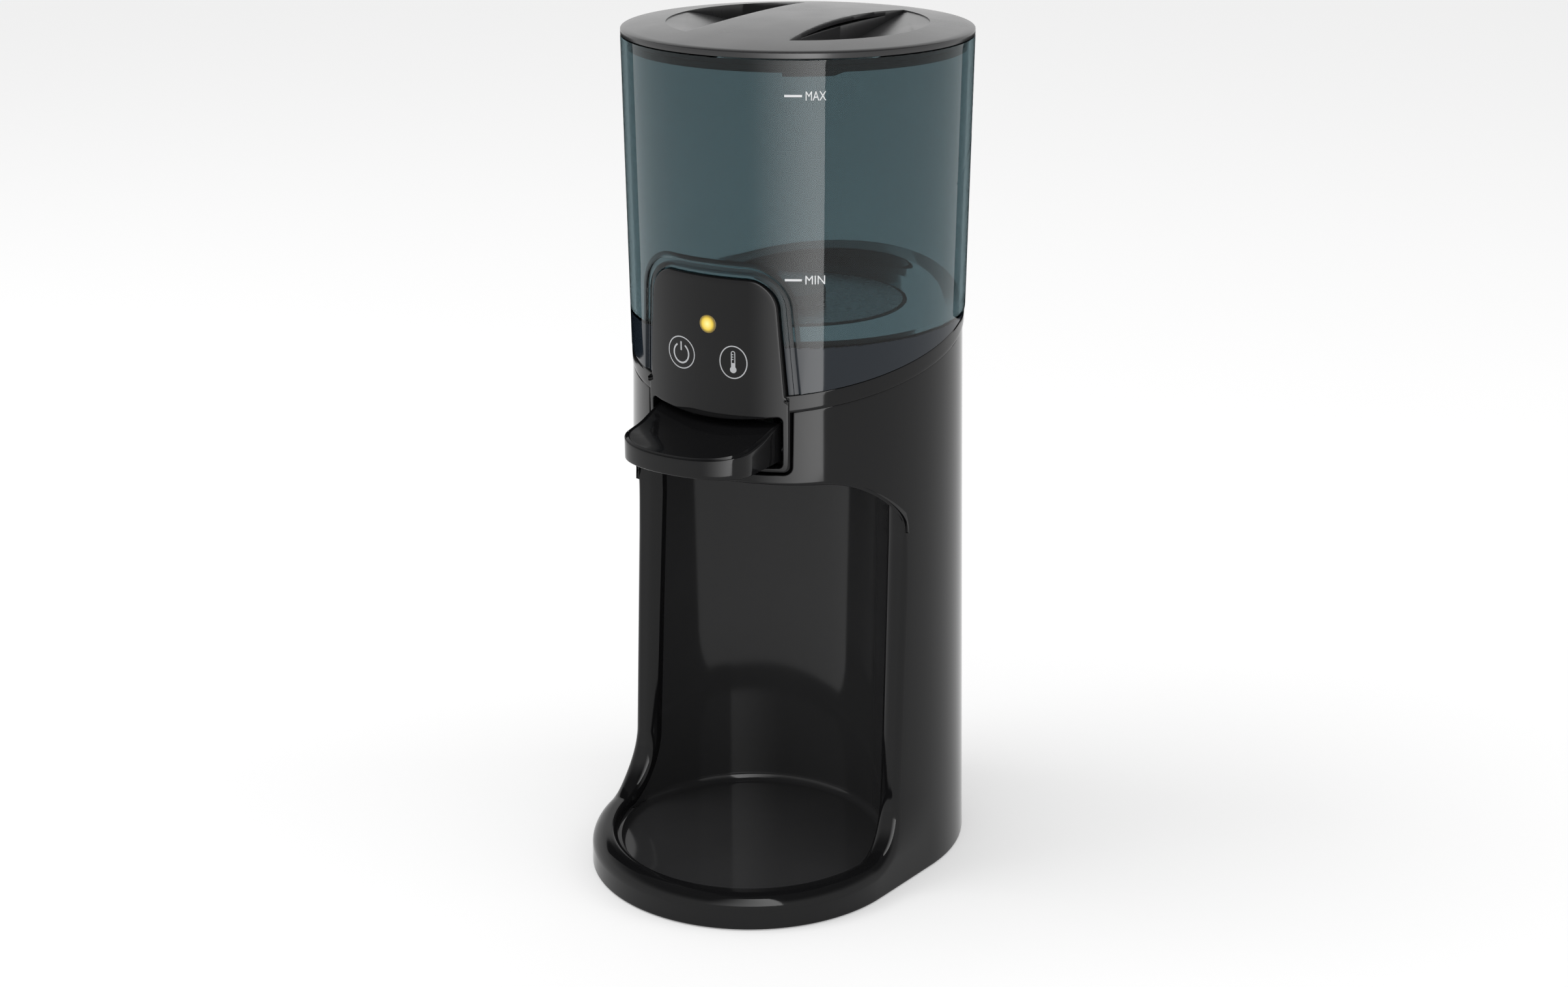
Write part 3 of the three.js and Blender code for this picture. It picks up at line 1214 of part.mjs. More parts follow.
addPiece('mains_leads', twinLead([-1, 1].map((side) => {
  const x = side * twinOffset;
  const start = inletBackSetback - seatGap;
  const rise = (mainBoardBottomHeight - inletHeight) / 2;
  return [
    [x, start, inletHeight],
    [x, start - leadBend, inletHeight],
    [x, start - leadBend * 2, inletHeight + rise],
    [x, boardBack + leadBend, mainBoardBottomHeight + leadBend],
    [x, partFront, mainBoardBottomHeight + leadBend],
  ];
})), 0x2f4f86, 0.6);

// Flat cable from the touch board, back under the tank's front edge and down to the main board
const ribbonX = plugPlaces[2];
const ribbonFront = -touchBoardReach - (boardThickness + ribbonThickness) / 2;
const ribbonLevel = panelHollowBottomHeight + ribbonThickness;
addPiece('panel_ribbon', joined([
  box(ribbonX - ribbonHalfWidth, ribbonX + ribbonHalfWidth, ribbonFront, ribbonFront + ribbonThickness,
    ribbonLevel, touchBoardBottomHeight - seatGap),
  box(ribbonX - ribbonHalfWidth, ribbonX + ribbonHalfWidth, ribbonFront, plugDepth,
    ribbonLevel, ribbonLevel + ribbonThickness),
  box(ribbonX - ribbonHalfWidth, ribbonX + ribbonHalfWidth, plugDepth - ribbonThickness, plugDepth,
    plugLeadHeight, ribbonLevel + ribbonThickness),
]), 0x8d9096, 0.6);

export default group;
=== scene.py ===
from math import acos, asin, atan2, cos, hypot, inf, pi, radians, sin, sqrt

import bpy
import numpy as np
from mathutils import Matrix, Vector


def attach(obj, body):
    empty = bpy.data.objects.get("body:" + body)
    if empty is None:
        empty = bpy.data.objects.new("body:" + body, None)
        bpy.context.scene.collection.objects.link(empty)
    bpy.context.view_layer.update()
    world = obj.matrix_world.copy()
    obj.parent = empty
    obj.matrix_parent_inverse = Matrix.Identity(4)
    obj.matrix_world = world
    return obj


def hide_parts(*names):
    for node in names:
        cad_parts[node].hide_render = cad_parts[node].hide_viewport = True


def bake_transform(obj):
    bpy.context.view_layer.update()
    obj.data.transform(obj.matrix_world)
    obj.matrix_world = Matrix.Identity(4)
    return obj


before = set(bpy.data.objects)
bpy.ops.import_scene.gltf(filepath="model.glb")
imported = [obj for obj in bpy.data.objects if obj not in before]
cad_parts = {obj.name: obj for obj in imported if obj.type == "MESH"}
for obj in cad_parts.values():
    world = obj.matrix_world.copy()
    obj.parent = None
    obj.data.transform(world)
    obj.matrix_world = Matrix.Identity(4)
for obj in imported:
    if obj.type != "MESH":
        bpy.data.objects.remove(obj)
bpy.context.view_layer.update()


# Column shell: glossy black plastic, moulded in one piece with the lip and the arms round the
# niche. Its footprint wraps the column's circle and the tray's circle, and the sides above the lip
# run out into the column. Sizes are in millimetres from its axis, with the front towards -y.
MM = 0.001
WELD_GAP = 0.002
AXIS_Y = 17.45
COLUMN_FOOT_R, COLUMN_TAPER = 75.1, 4.6 / 225
TRAY_Y, TRAY_R, WELL_R = 39.2, 70.8, 59.5
FOOT_Z, LIP_Z, ARM_Z = 1.2, 15, 42
LIP_TURN, TRAY_TURN = 79.55, 81.2
LIP_REACH, FLANGE_LOW, FLANGE_HIGH = 50, 30, 24.5
ARCH_X, ARCH_Z, ARCH_W, ARCH_H = 46, 155, 22, 30.7
JUNCTION_Z, CRESCENT_TOP_Z, CEILING_Z = 161.6, 184.5, 185.7
SEAM_Z, SEAM_SLOPE = 230.6, 0.232
NOTCH_X, NOTCH_Z, NOTCH_R, NOTCH_TOP_Z = 35.5, 189.5, 4.0, 216
SHELL_WALL = 1.6
SIDE_ANGLE = acos((COLUMN_FOOT_R - TRAY_R) / TRAY_Y)
TRAY_ANGLE = atan2(TRAY_R * sin(SIDE_ANGLE), TRAY_Y + TRAY_R * cos(SIDE_ANGLE))


def at(*places):
    """Points from their two or three places, each a row of numbers or one number for all."""
    return np.stack(np.broadcast_arrays(*places), -1)


def quarter(steps):
    return np.linspace(0, pi / 2, steps)


def column_radius(z):
    return COLUMN_FOOT_R - COLUMN_TAPER * z


def skin(angle, z):
    """The outer skin's point at an angle from the front, towards +x, and a height."""
    turned = np.abs(angle)
    side = TRAY_Y * np.sin(np.minimum(turned, TRAY_ANGLE))
    front = TRAY_Y * np.cos(turned) + np.sqrt(TRAY_R ** 2 - side ** 2)
    flat = COLUMN_FOOT_R / np.cos(np.minimum(turned - SIDE_ANGLE, 0))
    foot = np.where(turned >= TRAY_ANGLE, flat, front)
    foot = np.where(turned >= SIDE_ANGLE, COLUMN_FOOT_R, foot)
    climb = np.clip((z - LIP_Z) / (ARM_Z - LIP_Z), 0, 1)
    rise = climb * climb * (3 - 2 * climb)
    radius = column_radius(z) + (foot - COLUMN_FOOT_R) * (1 - rise)
    return at(radius * np.sin(angle), -radius * np.cos(angle), z)


def unit(v):
    return v / np.maximum(np.linalg.norm(v, axis=-1, keepdims=True), 1e-9)


def along(line):
    return unit(np.gradient(line, axis=0))


def skin_normal(angle, z, step=1e-3):
    across = skin(angle + step, z) - skin(angle - step, z)
    up = skin(angle, z + step * 50) - skin(angle, z - step * 50)
    return unit(np.cross(across, up))


def skin_angle_at(reach, z):
    """The angle at which the skin stands this far to the front."""
    low, high = 0.0, pi
    for _ in range(50):
        middle = (low + high) / 2
        if -skin(middle, z)[1] > reach:
            low = middle
        else:
            high = middle
    return (low + high) / 2


def slanted(angle, level, radius_at):
    """The height at which a round wall meets the slanted seam, at an angle from the front."""
    z = level
    for _ in range(8):
        z = level - SEAM_SLOPE * radius_at(z) * cos(angle)
    return z


def arc(x, z, radius, start=0, end=360, steps=97, height=None):
    turns = np.radians(np.linspace(start, end, steps))
    return at(x + radius * np.cos(turns), z + (height or radius) * np.sin(turns))


def joined_line(*parts):
    """One line through several, without a second point where one starts at the other's end."""
    line = [parts[0]]
    for part in parts[1:]:
        line.append(part[1:] if np.allclose(part[0], line[-1][-1], atol=1e-4) else part)
    return np.concatenate(line)


def between(start, end, steps):
    """Rows that run evenly from one line to another."""
    return start + (end - start) * np.linspace(0, 1, steps)[:, None, None]


def rolled(start, corner, end, steps):
    """Points of the round that joins two faces at a corner, from one tangent point to the other."""
    legs = unit(start - corner), unit(end - corner)
    weight = np.sqrt(np.clip((1 - np.sum(legs[0] * legs[1], -1, keepdims=True)) / 2, 0.05, 1))
    rows = []
    for share in np.linspace(0, 1, steps + 1):
        a, b, c = (1 - share) ** 2, 2 * share * (1 - share) * weight, share ** 2
        rows.append((a * start + b * corner + c * end) / (a + b + c))
    return rows


def on_middle(rows, *columns):
    """Puts end columns exactly on the middle plane, where the two halves meet."""
    rows = np.array(rows)
    rows[:, list(columns), 0] = 0
    return rows


def left_half(rows):
    return rows[:, ::-1] * np.array([-1, 1, 1])


def spots_of(piece):
    """The places of a piece's points, a row each."""
    spots = np.empty(len(piece.data.vertices) * 3)
    piece.data.vertices.foreach_get("co", spots)
    return spots.reshape(-1, 3)


def moved(piece, spots):
    """Puts a piece's points at other places."""
    piece.data.vertices.foreach_set("co", np.asarray(spots, float).reshape(-1))
    piece.data.update()
    return piece


def laid_sheet(rows):
    """A grid primitive laid over rows of points; its faces look along columns x rows."""
    rows = np.asarray(rows, float)
    bpy.ops.mesh.primitive_grid_add(x_subdivisions=rows.shape[1] - 1,
                                    y_subdivisions=rows.shape[0] - 1, size=1)
    return moved(bpy.context.object, rows)


def both_halves(rows):
    return [laid_sheet(rows), laid_sheet(left_half(rows))]


def picked(*pieces):
    """Selects these pieces alone and works on the first."""
    bpy.ops.object.select_all(action="DESELECT")
    for piece in pieces:
        piece.select_set(True)
    bpy.context.view_layer.objects.active = pieces[0]
    return pieces[0]


def on_all(step, **settings):
    """Runs a mesh tool on every point of the piece that is worked on."""
    bpy.ops.object.mode_set(mode="EDIT")
    bpy.ops.mesh.select_all(action="SELECT")
    step(**settings)
    bpy.ops.object.mode_set(mode="OBJECT")


def face_out():
    on_all(bpy.ops.mesh.normals_make_consistent, inside=False)


def shade(angle):
    bpy.ops.object.shade_smooth_by_angle(angle=radians(angle))


def applied(piece, kind, **settings):
    """Gives the piece that is worked on a modifier, and applies it."""
    change = piece.modifiers.new(kind.lower(), kind)
    for setting, value in settings.items():
        setattr(change, setting, value)
    bpy.ops.object.modifier_apply(modifier=change.name)


def welded(pieces, name="sheet", wall=0.0, smooth=40):
    """Joins sheets into one skin, closes its seams and gives it a wall behind its faces."""
    whole = picked(*pieces)
    bpy.ops.object.join()
    whole.name = whole.data.name = name
    on_all(bpy.ops.mesh.remove_doubles, threshold=WELD_GAP)
    if wall:
        applied(whole, "SOLIDIFY", thickness=wall, offset=-1)
    shade(smooth)
    return whole


def set_down(piece):
    """Millimetres about the column's axis become metres about the middle of the footprint."""
    return moved(piece, (spots_of(piece) + np.array([0, AXIS_Y, 0])) * MM)


# the opening's edge on the right, as angle and height on the skin, and how far to the front its
# inner partner stands: along the lip, up the arm and flange, round the arch and to the middle
turns = np.radians(np.linspace(0, LIP_TURN, 56))
edge = [(atan2(TRAY_R * sin(t), TRAY_Y + TRAY_R * cos(t)), LIP_Z)
        for t in turns * TRAY_TURN / LIP_TURN]
reaches = [TRAY_Y + WELL_R * cos(t) for t in turns]
lip_count = len(edge)
arm = [(LIP_REACH - (LIP_REACH - FLANGE_LOW) * sin(t), ARM_Z - (ARM_Z - LIP_Z) * cos(t))
       for t in quarter(41)[1:]]
flange = [(np.interp(z, (ARM_Z, ARCH_Z), (FLANGE_LOW, FLANGE_HIGH)), z)
          for z in np.linspace(ARM_Z, JUNCTION_Z, 61)[1:]]
for reach, z in arm + flange:
    edge.append((skin_angle_at(reach, z), z))
    reaches.append(reach)
arm_count, flange_count = lip_count + len(arm), len(edge)
for t in np.linspace(asin((JUNCTION_Z - ARCH_Z) / ARCH_H), pi / 2, 57)[1:]:
    x, z = ARCH_X + ARCH_W * cos(t), ARCH_Z + ARCH_H * sin(t)
    edge.append((asin(x / column_radius(z)), z))
curve_count = len(edge)
edge += [(asin(x / column_radius(CEILING_Z)), CEILING_Z)
         for x in np.linspace(ARCH_X, 0, 41)[1:]]

# the corner at the junction is eased, with an angle counted as its run of 70 mm on the skin
edge_scale = np.array([70.0, 1.0])
edge = np.array(edge) * edge_scale
corner = edge[flange_count - 10:flange_count + 9]
for _ in range(24):
    corner[1:-1] = corner[1:-1] * 0.5 + (corner[:-2] + corner[2:]) * 0.25
edge = edge / edge_scale
edge_points = skin(*edge.T)
edge_run = along(edge_points)
edge_run[0], edge_run[-1] = [1, 0, 0], [-1, 0, 0]

# the edge's round is wide along the lip and narrow at the flange and the arch
round_starts = [0, lip_count - 12, arm_count - 6, flange_count - 14, flange_count]
outer_round = np.interp(np.arange(len(edge)), round_starts, [6, 6, 2.2, 2.0, 1.0])
tangent = edge_points + np.cross(edge_run, skin_normal(*edge.T)) * outer_round[:, None]
tangent_marks = at(np.arctan2(tangent[:, 0], -tangent[:, 1]), tangent[:, 2])
tangent_marks[[0, -1], 0] = 0
tangent = skin(*tangent_marks.T)


def far_edge(start, foot_end, low, high, count):
    """A wall's far edge: under the lip's angles and round to the rear at one height, then up."""
    line = np.zeros((len(start), 2))
    line[:lip_count, 0] = start[:lip_count, 0]
    line[lip_count - 1:foot_end + 1, 0] = np.linspace(
        start[lip_count - 1, 0], pi, foot_end + 2 - lip_count)
    line[:foot_end + 1, 1] = low
    line[foot_end:count, 0] = pi
    line[foot_end:count, 1] = np.linspace(low, high, count - foot_end)
    return line


# the skin runs from that edge out to the foot, the rear line, the slanted seam and the notch
foot_end = arm_count - 12
limits = far_edge(edge, foot_end, FOOT_Z, slanted(pi, SEAM_Z, column_radius), flange_count)
seam_turns = np.linspace(pi, asin(NOTCH_X / column_radius(NOTCH_TOP_Z)),
                         curve_count - flange_count + 1)
limits[flange_count - 1:curve_count] = [(a, slanted(a, SEAM_Z, column_radius)) for a in seam_turns]
SIDE_STEPS, BEND_STEPS = 9, 7
sill_steps = len(edge) - curve_count + 3 - SIDE_STEPS - BEND_STEPS
notch = joined_line(
    np.linspace((NOTCH_X, limits[curve_count - 1, 1]), (NOTCH_X, NOTCH_Z + NOTCH_R), SIDE_STEPS),
    arc(NOTCH_X - NOTCH_R, NOTCH_Z + NOTCH_R, NOTCH_R, 0, -90, BEND_STEPS),
    np.linspace((NOTCH_X - NOTCH_R, NOTCH_Z), (0, NOTCH_Z), sill_steps))
limits[curve_count:] = [(asin(x / column_radius(z)), z) for x, z in notch[1:]]
spread = between(tangent_marks, limits, 41)
skin_rows = skin(spread[..., 0], spread[..., 1])


def rim_roll(marks, radius, depth):
    """The rounded edge of the skin along a line of marks, turned in behind it."""
    line, out = skin(*marks.T), skin_normal(*marks.T)
    across = unit(np.cross(along(line), out))
    heart = line - out * radius
    rows = [heart + radius * (across * sin(t) + out * cos(t)) for t in quarter(5)]
    return on_middle(rows + [rows[-1] - out * depth], 0, -1)


foot_rim = rim_roll(limits[:foot_end + 1], radius=0.9, depth=1.2)
seam_rim = rim_roll(limits[flange_count - 1:], radius=0.45, depth=1.6)

# lip, arms and flange: outer round, flat face, inner round, and the first of the niche's wall;
# above the junction the face narrows to a crescent under the arch
CRESCENT_STEPS = 14
crescent_z = np.linspace(JUNCTION_Z, CRESCENT_TOP_Z, CRESCENT_STEPS + 1)[1:]
inner_turns = np.arccos((np.array(reaches) - TRAY_Y) / WELL_R)
inner_turns = np.append(inner_turns, np.full(CRESCENT_STEPS, inner_turns[-1]))
inner_z = np.append(edge[:flange_count, 1], crescent_z)


def well(turns, z, radius=WELL_R):
    return at(radius * np.sin(turns), -TRAY_Y - radius * np.cos(turns), z)


def on_well(points):
    return np.arctan2(points[:, 0], -(points[:, 1] + TRAY_Y)), points[:, 2]


inner_points = well(inner_turns, inner_z)
inner_run = along(inner_points)
inner_run[0] = [1, 0, 0]
inner_away = unit(np.cross(at(-np.sin(inner_turns), np.cos(inner_turns), 0), inner_run))
round_starts = [0, lip_count - 12, arm_count]
inner_round = np.interp(np.arange(len(inner_z)), round_starts, [2.6, 2.6, 4.4])[:, None]
wall_start = well(*on_well(inner_points + inner_away * inner_round))
wall_next = well(*on_well(inner_points + inner_away * (inner_round + 1.0)))
crescent_x = ARCH_X + ARCH_W * np.sqrt(np.clip(1 - ((crescent_z - ARCH_Z) / ARCH_H) ** 2, 0, 1))
crescent_x = np.maximum(crescent_x, inner_points[-1, 0] + 5)
crescent = at(crescent_x, -FLANGE_HIGH, crescent_z)
outer_points = np.concatenate([edge_points[:flange_count], crescent])
inward = unit(inner_points - outer_points)
rounding = np.append(outer_round[:flange_count], np.full(CRESCENT_STEPS, 0.01))[:, None]
face_start = outer_points + inward * rounding
face_end = inner_points - inward * inner_round
first = np.concatenate([tangent[:flange_count], crescent])
flange_rows = rolled(first, outer_points, face_start, 8)
flange_rows += [face_start + (face_end - face_start) * share for share in (0.33, 0.67)]
flange_rows += rolled(face_end, inner_points, wall_start, 7) + [wall_next]
flange_rows = on_middle(flange_rows, 0)

# the soffit over the niche, from its rounded front edge back to the well's wall
soffit_edge = edge_points[flange_count - 1:]
well_y = -TRAY_Y + np.sqrt(np.maximum(WELL_R ** 2 - soffit_edge[:, 0] ** 2, 0))
over_well = np.abs(soffit_edge[:, 0]) < inner_points[-1, 0]
soffit_y = np.where(over_well, well_y, -FLANGE_HIGH) + 0.4
soffit_round = np.clip((soffit_y - soffit_edge[:, 1]) * 0.4, 0.02, 1.0)[:, None]
soffit_start = soffit_edge + np.array([0, 1.0, 0]) * soffit_round
soffit_end = at(soffit_edge[:, 0], soffit_y, soffit_edge[:, 2])
soffit = rolled(tangent[flange_count - 1:], soffit_edge, soffit_start, 5)
soffit = on_middle(soffit + list(between(soffit_start, soffit_end, 9)[1:]), -1)

shell_sheets = [laid_sheet(np.concatenate([skin_rows, left_half(skin_rows)[:, 1:]], 1)[::-1])]
for rows in (foot_rim[::-1], seam_rim[::-1], flange_rows, soffit):
    shell_sheets += both_halves(rows)
body_shell = set_down(welded(shell_sheets, "body_shell", SHELL_WALL))


def new_finish(name):
    finish = bpy.data.materials.new(name)
    finish.use_nodes = True
    return finish, finish.node_tree


def wired(tree, node, sockets):
    """Fills a node's sockets, each with a value or with another node's output."""
    for socket, value in sockets.items():
        if isinstance(value, bpy.types.NodeSocket):
            tree.links.new(value, node.inputs[socket])
        else:
            node.inputs[socket].default_value = value
    return node


def added(tree, kind, sockets=(), **settings):
    """Adds a shader node to a tree, with its settings made and its sockets filled."""
    node = tree.nodes.new("ShaderNode" + kind)
    for setting, value in settings.items():
        setattr(node, setting, value)
    return wired(tree, node, dict(sockets))


GRAIN_DEPTH = 0.0001


def moulded(name, colour, roughness, cloud=0.12, grain=0.02, cloud_size=0.02, grain_size=0.0015,
            metal=0.0, more=()):
    """A finish with a slightly cloudy colour, an uneven polish and a faint grain of its own."""
    finish, tree = new_finish(name)
    here = added(tree, "TexCoord").outputs["Object"]
    clouds = added(tree, "TexNoise", {"Scale": 1 / cloud_size, "Detail": 3, "Vector": here})
    fac = clouds.outputs["Fac"]
    dark = [c * (1 - cloud) for c in colour] + [1]
    light = [min(1, c * (1 + cloud)) for c in colour] + [1]
    colours = added(tree, "Mix", {0: fac, 6: dark, 7: light}, data_type="RGBA")
    polish = added(tree, "MapRange", {"Value": fac, "To Min": roughness[0], "To Max": roughness[1]})
    pores = added(tree, "TexNoise", {"Scale": 1 / grain_size, "Detail": 2, "Vector": here})
    relief = added(tree, "Bump", {"Strength": grain, "Distance": GRAIN_DEPTH,
                                  "Height": pores.outputs["Fac"]})
    wired(tree, tree.nodes["Principled BSDF"], {
        "Metallic": metal, "Base Color": colours.outputs[2], "Roughness": polish.outputs["Result"],
        "Normal": relief.outputs["Normal"], **dict(more)})
    return finish


def finished(piece, finish):
    piece.data.materials.clear()
    piece.data.materials.append(finish)
    return piece


gloss_black = moulded("gloss_black", (0.0075, 0.0075, 0.008), (0.06, 0.1), 0.1, 0.012, 0.03, 0.006,
                      more={"IOR": 1.31})
finished(body_shell, gloss_black)

# Niche lining: its back wall and floor, one glossy black moulding that closes the niche off from
# the electrics. It is clipped in from the inside, so its joint with the arms is a hairline.
LINING_FLOOR_Z, LINING_FILLET, LINING_WALL = 8, 3.5, 1.8
lining_start = np.stack(on_well(wall_next), -1)
lining_start[0, 0] = 0
floor_end = arm_count - 8
fillet_top = LINING_FLOOR_Z + LINING_FILLET
lining_limits = far_edge(lining_start, floor_end, fillet_top, CEILING_Z + 0.3, len(lining_start))
spread = between(lining_start, lining_limits, 31)
wall_rows = on_middle(well(spread[..., 0], spread[..., 1]), 0)
floor_turns = lining_limits[:floor_end + 1, 0]
floor_profile = [(LINING_FLOOR_Z + LINING_FILLET * (1 - sin(t)),
                  WELL_R - LINING_FILLET * (1 - cos(t))) for t in quarter(8)]
floor_profile += [(LINING_FLOOR_Z, r) for r in np.linspace(WELL_R - LINING_FILLET, 0, 9)[1:]]
floor_rows = on_middle([well(floor_turns, z, r) for z, r in floor_profile], 0, -1)
lining_black = moulded("lining_black", (0.033, 0.033, 0.034), (0.07, 0.11), 0.1, 0.02, 0.03, 0.004,
                       more={"IOR": 1.31})
lining_sheets = both_halves(wall_rows) + both_halves(floor_rows)
niche_lining = finished(set_down(welded(lining_sheets, "niche_lining", LINING_WALL)), lining_black)
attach(body_shell, "housing")
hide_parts("body_housing")
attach(niche_lining, "housing")
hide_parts("niche_liner")

# Collar, control panel and lever surround: one glossy black moulding. The ring carries the tank on
# the column's slanted top, and the panel stands up from it, with the lever's opening at its foot.
COLLAR_R, COLLAR_DEPTH, COLLAR_ROUND = 70.9, 5.5, 0.35
COLLAR_LOW, COLLAR_HIGH = 231.0, 238.0
PANEL_FOOT_R, PANEL_FLARE, PANEL_WALL = 71.15, 0.55 / 80, 1.2
PANEL_FOOT_Z, SURROUND_TOP_Z, PANEL_SHOULDER_Z, PANEL_TOP_Z = 191, 222.9, 258.5, 271
SURROUND_X, SURROUND_R, STEP_R, STEP_RISE = 34, 2.5, 0.6, 0.4
PANEL_FOOT_X, PANEL_X, PANEL_R = 32.5, 30, 12.5
OPENING_X, OPENING_FOOT_Z, OPENING_TOP_Z, OPENING_R, OPENING_SAG = 31.5, 192.9, 214.5, 2, 2.6
turn = np.linspace(0, 2 * pi, 289)


def ring(radius, level, slope=0.0):
    """A row of points round the axis, level or on a slant that falls to the front."""
    return at(radius * np.sin(turn), -radius * np.cos(turn), level - slope * radius * np.cos(turn))


inside_r, flat_r = COLLAR_R - COLLAR_DEPTH, COLLAR_R - COLLAR_ROUND
wall_low, wall_high = COLLAR_LOW + COLLAR_ROUND, COLLAR_HIGH - COLLAR_ROUND
round_turns = np.linspace(0.3, pi / 2, 4)
collar_profile = [(inside_r, COLLAR_LOW), (flat_r, COLLAR_LOW)]
collar_profile += [(flat_r + COLLAR_ROUND * sin(t),
                    COLLAR_LOW + COLLAR_ROUND * (1 - cos(t))) for t in round_turns]
collar_profile += [(COLLAR_R, z) for z in np.linspace(wall_low, wall_high, 6)[1:]]
collar_profile += [(flat_r + COLLAR_ROUND * cos(t), wall_high + COLLAR_ROUND * sin(t))
                   for t in round_turns]
collar_profile += [(inside_r, COLLAR_HIGH), (inside_r, COLLAR_LOW)]


def on_panel(x, z, proud=0.0):
    """Points of the panel's face from places in front view."""
    radius = PANEL_FOOT_R + PANEL_FLARE * (z - PANEL_FOOT_Z) + proud
    return at(x, -np.sqrt(radius ** 2 - x ** 2), z)


panel_outline = joined_line(
    np.linspace((0, PANEL_FOOT_Z), (SURROUND_X - SURROUND_R, PANEL_FOOT_Z), 25),
    arc(SURROUND_X - SURROUND_R, PANEL_FOOT_Z + SURROUND_R, SURROUND_R, -90, 0, 9),
    np.linspace((SURROUND_X, PANEL_FOOT_Z + SURROUND_R), (SURROUND_X, SURROUND_TOP_Z - STEP_R), 31),
    arc(SURROUND_X - STEP_R, SURROUND_TOP_Z - STEP_R, STEP_R, 0, 90, 5),
    np.linspace((SURROUND_X - STEP_R, SURROUND_TOP_Z),
                (PANEL_FOOT_X + STEP_RISE, SURROUND_TOP_Z), 3),
    np.linspace((PANEL_FOOT_X, SURROUND_TOP_Z + STEP_RISE), (PANEL_X + 0.05, PANEL_SHOULDER_Z), 37),
    arc(PANEL_X - PANEL_R, PANEL_SHOULDER_Z, PANEL_R, 0, 90, 37),
    np.linspace((PANEL_X - PANEL_R, PANEL_TOP_Z), (0, PANEL_TOP_Z), 19))
opening_line = joined_line(
    np.linspace((0, OPENING_FOOT_Z), (OPENING_X - OPENING_R, OPENING_FOOT_Z), 25),
    arc(OPENING_X - OPENING_R, OPENING_FOOT_Z + OPENING_R, OPENING_R, -90, 0, 9),
    np.linspace((OPENING_X, OPENING_FOOT_Z + OPENING_R),
                (OPENING_X, OPENING_TOP_Z - OPENING_R), 31),
    arc(OPENING_X - OPENING_R, OPENING_TOP_Z - OPENING_R, OPENING_R, 0, 90, 9))
lip_x = np.linspace(OPENING_X - OPENING_R, 0, len(panel_outline) - len(opening_line) + 1)
lip_z = OPENING_TOP_Z - OPENING_SAG * (1 - (lip_x / lip_x[0]) ** 2)
opening_line = joined_line(opening_line, at(lip_x, lip_z))


def edge_rows(line, round_r, depth, side):
    """Rows from the panel's face over its rounded edge and straight back behind it."""
    run = along(line)
    face_line = line + at(-run[:, 1], run[:, 0]) * side * round_r
    face_line[[0, -1], 0] = 0
    sharp = on_panel(*line.T)
    behind = sharp + np.array([0, round_r, 0])
    rows = rolled(on_panel(*face_line.T), sharp, behind, 5)
    rows.append(at(line[:, 0], np.maximum(sharp[:, 1] + depth, behind[:, 1] + 0.1), line[:, 1]))
    return face_line, np.array(rows)


outer_line, outer_rows = edge_rows(panel_outline, round_r=0.8, depth=11.5, side=1)
inner_line, inner_rows = edge_rows(opening_line, round_r=0.5, depth=4.5, side=-1)
plan = between(inner_line, outer_line, 29)
panel_sheets = [laid_sheet([ring(r, z, SEAM_SLOPE) for r, z in collar_profile])]
for rows in (on_panel(plan[..., 0], plan[..., 1]), inner_rows[::-1], outer_rows):
    panel_sheets += both_halves(rows[:, ::-1])
control_panel = finished(set_down(welded(panel_sheets, "control_panel", PANEL_WALL)), gloss_black)
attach(control_panel, "housing")
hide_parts("collar_fascia")

# Lever: a half-round paddle moulded in glossy black, dished on top for a finger, with a hinge
# barrel and a fork behind the panel that lifts the tap's plunger. It turns on a steel pin.
LEVER_X, LEVER_CENTRE_Y, LEVER_TIP, LEVER_BACK_Y, LEVER_FOOT_Z = 29.7, 84.0, 16.4, 61.5, 195.3
RIM_STEP, DISH_DEPTH, EDGE_ROUND = 0.55, 1.0, 0.5
SQUARENESS = 2 / 2.15
sweep = quarter(81)
straight_y = np.linspace(LEVER_CENTRE_Y, LEVER_BACK_Y, 25)[1:]


def rim_height(reach):
    return np.interp(reach, [61.5, 66, 70, 75, 80, 84, 88, 92, 96, 100.4],
                     [211.8, 210.8, 209.7, 208.1, 207.1, 206.5, 205.9, 205.1, 204.2, 203.4])


def paddle_line(inset):
    """Half of the paddle's outline in plan, from the tip round to the back of the straight side."""
    round_x = (LEVER_X - inset) * np.sin(sweep) ** SQUARENESS
    round_y = LEVER_CENTRE_Y + (LEVER_TIP - inset) * np.cos(sweep) ** SQUARENESS
    side_x = np.full(len(straight_y), LEVER_X - inset)
    return at(np.append(round_x, side_x), np.append(round_y, straight_y))


def mixed(start, end, share):
    return start * (1 - share) + end * share


outline = paddle_line(0)
rim_width = np.interp(outline[:, 1], [61.5, 66, 78, 86, 94, 100.4], [0.7, 1.2, 2.2, 2.0, 1.3, 1.0])
dish_line = outline + (paddle_line(1.0) - outline) * rim_width[:, None]
dish_z = rim_height(dish_line[:, 1])
shoulder = outline - unit(outline - dish_line) * EDGE_ROUND
shoulder_z = rim_height(outline[:, 1]) - rim_width * 0.55
hub = np.array([0, LEVER_BACK_Y])

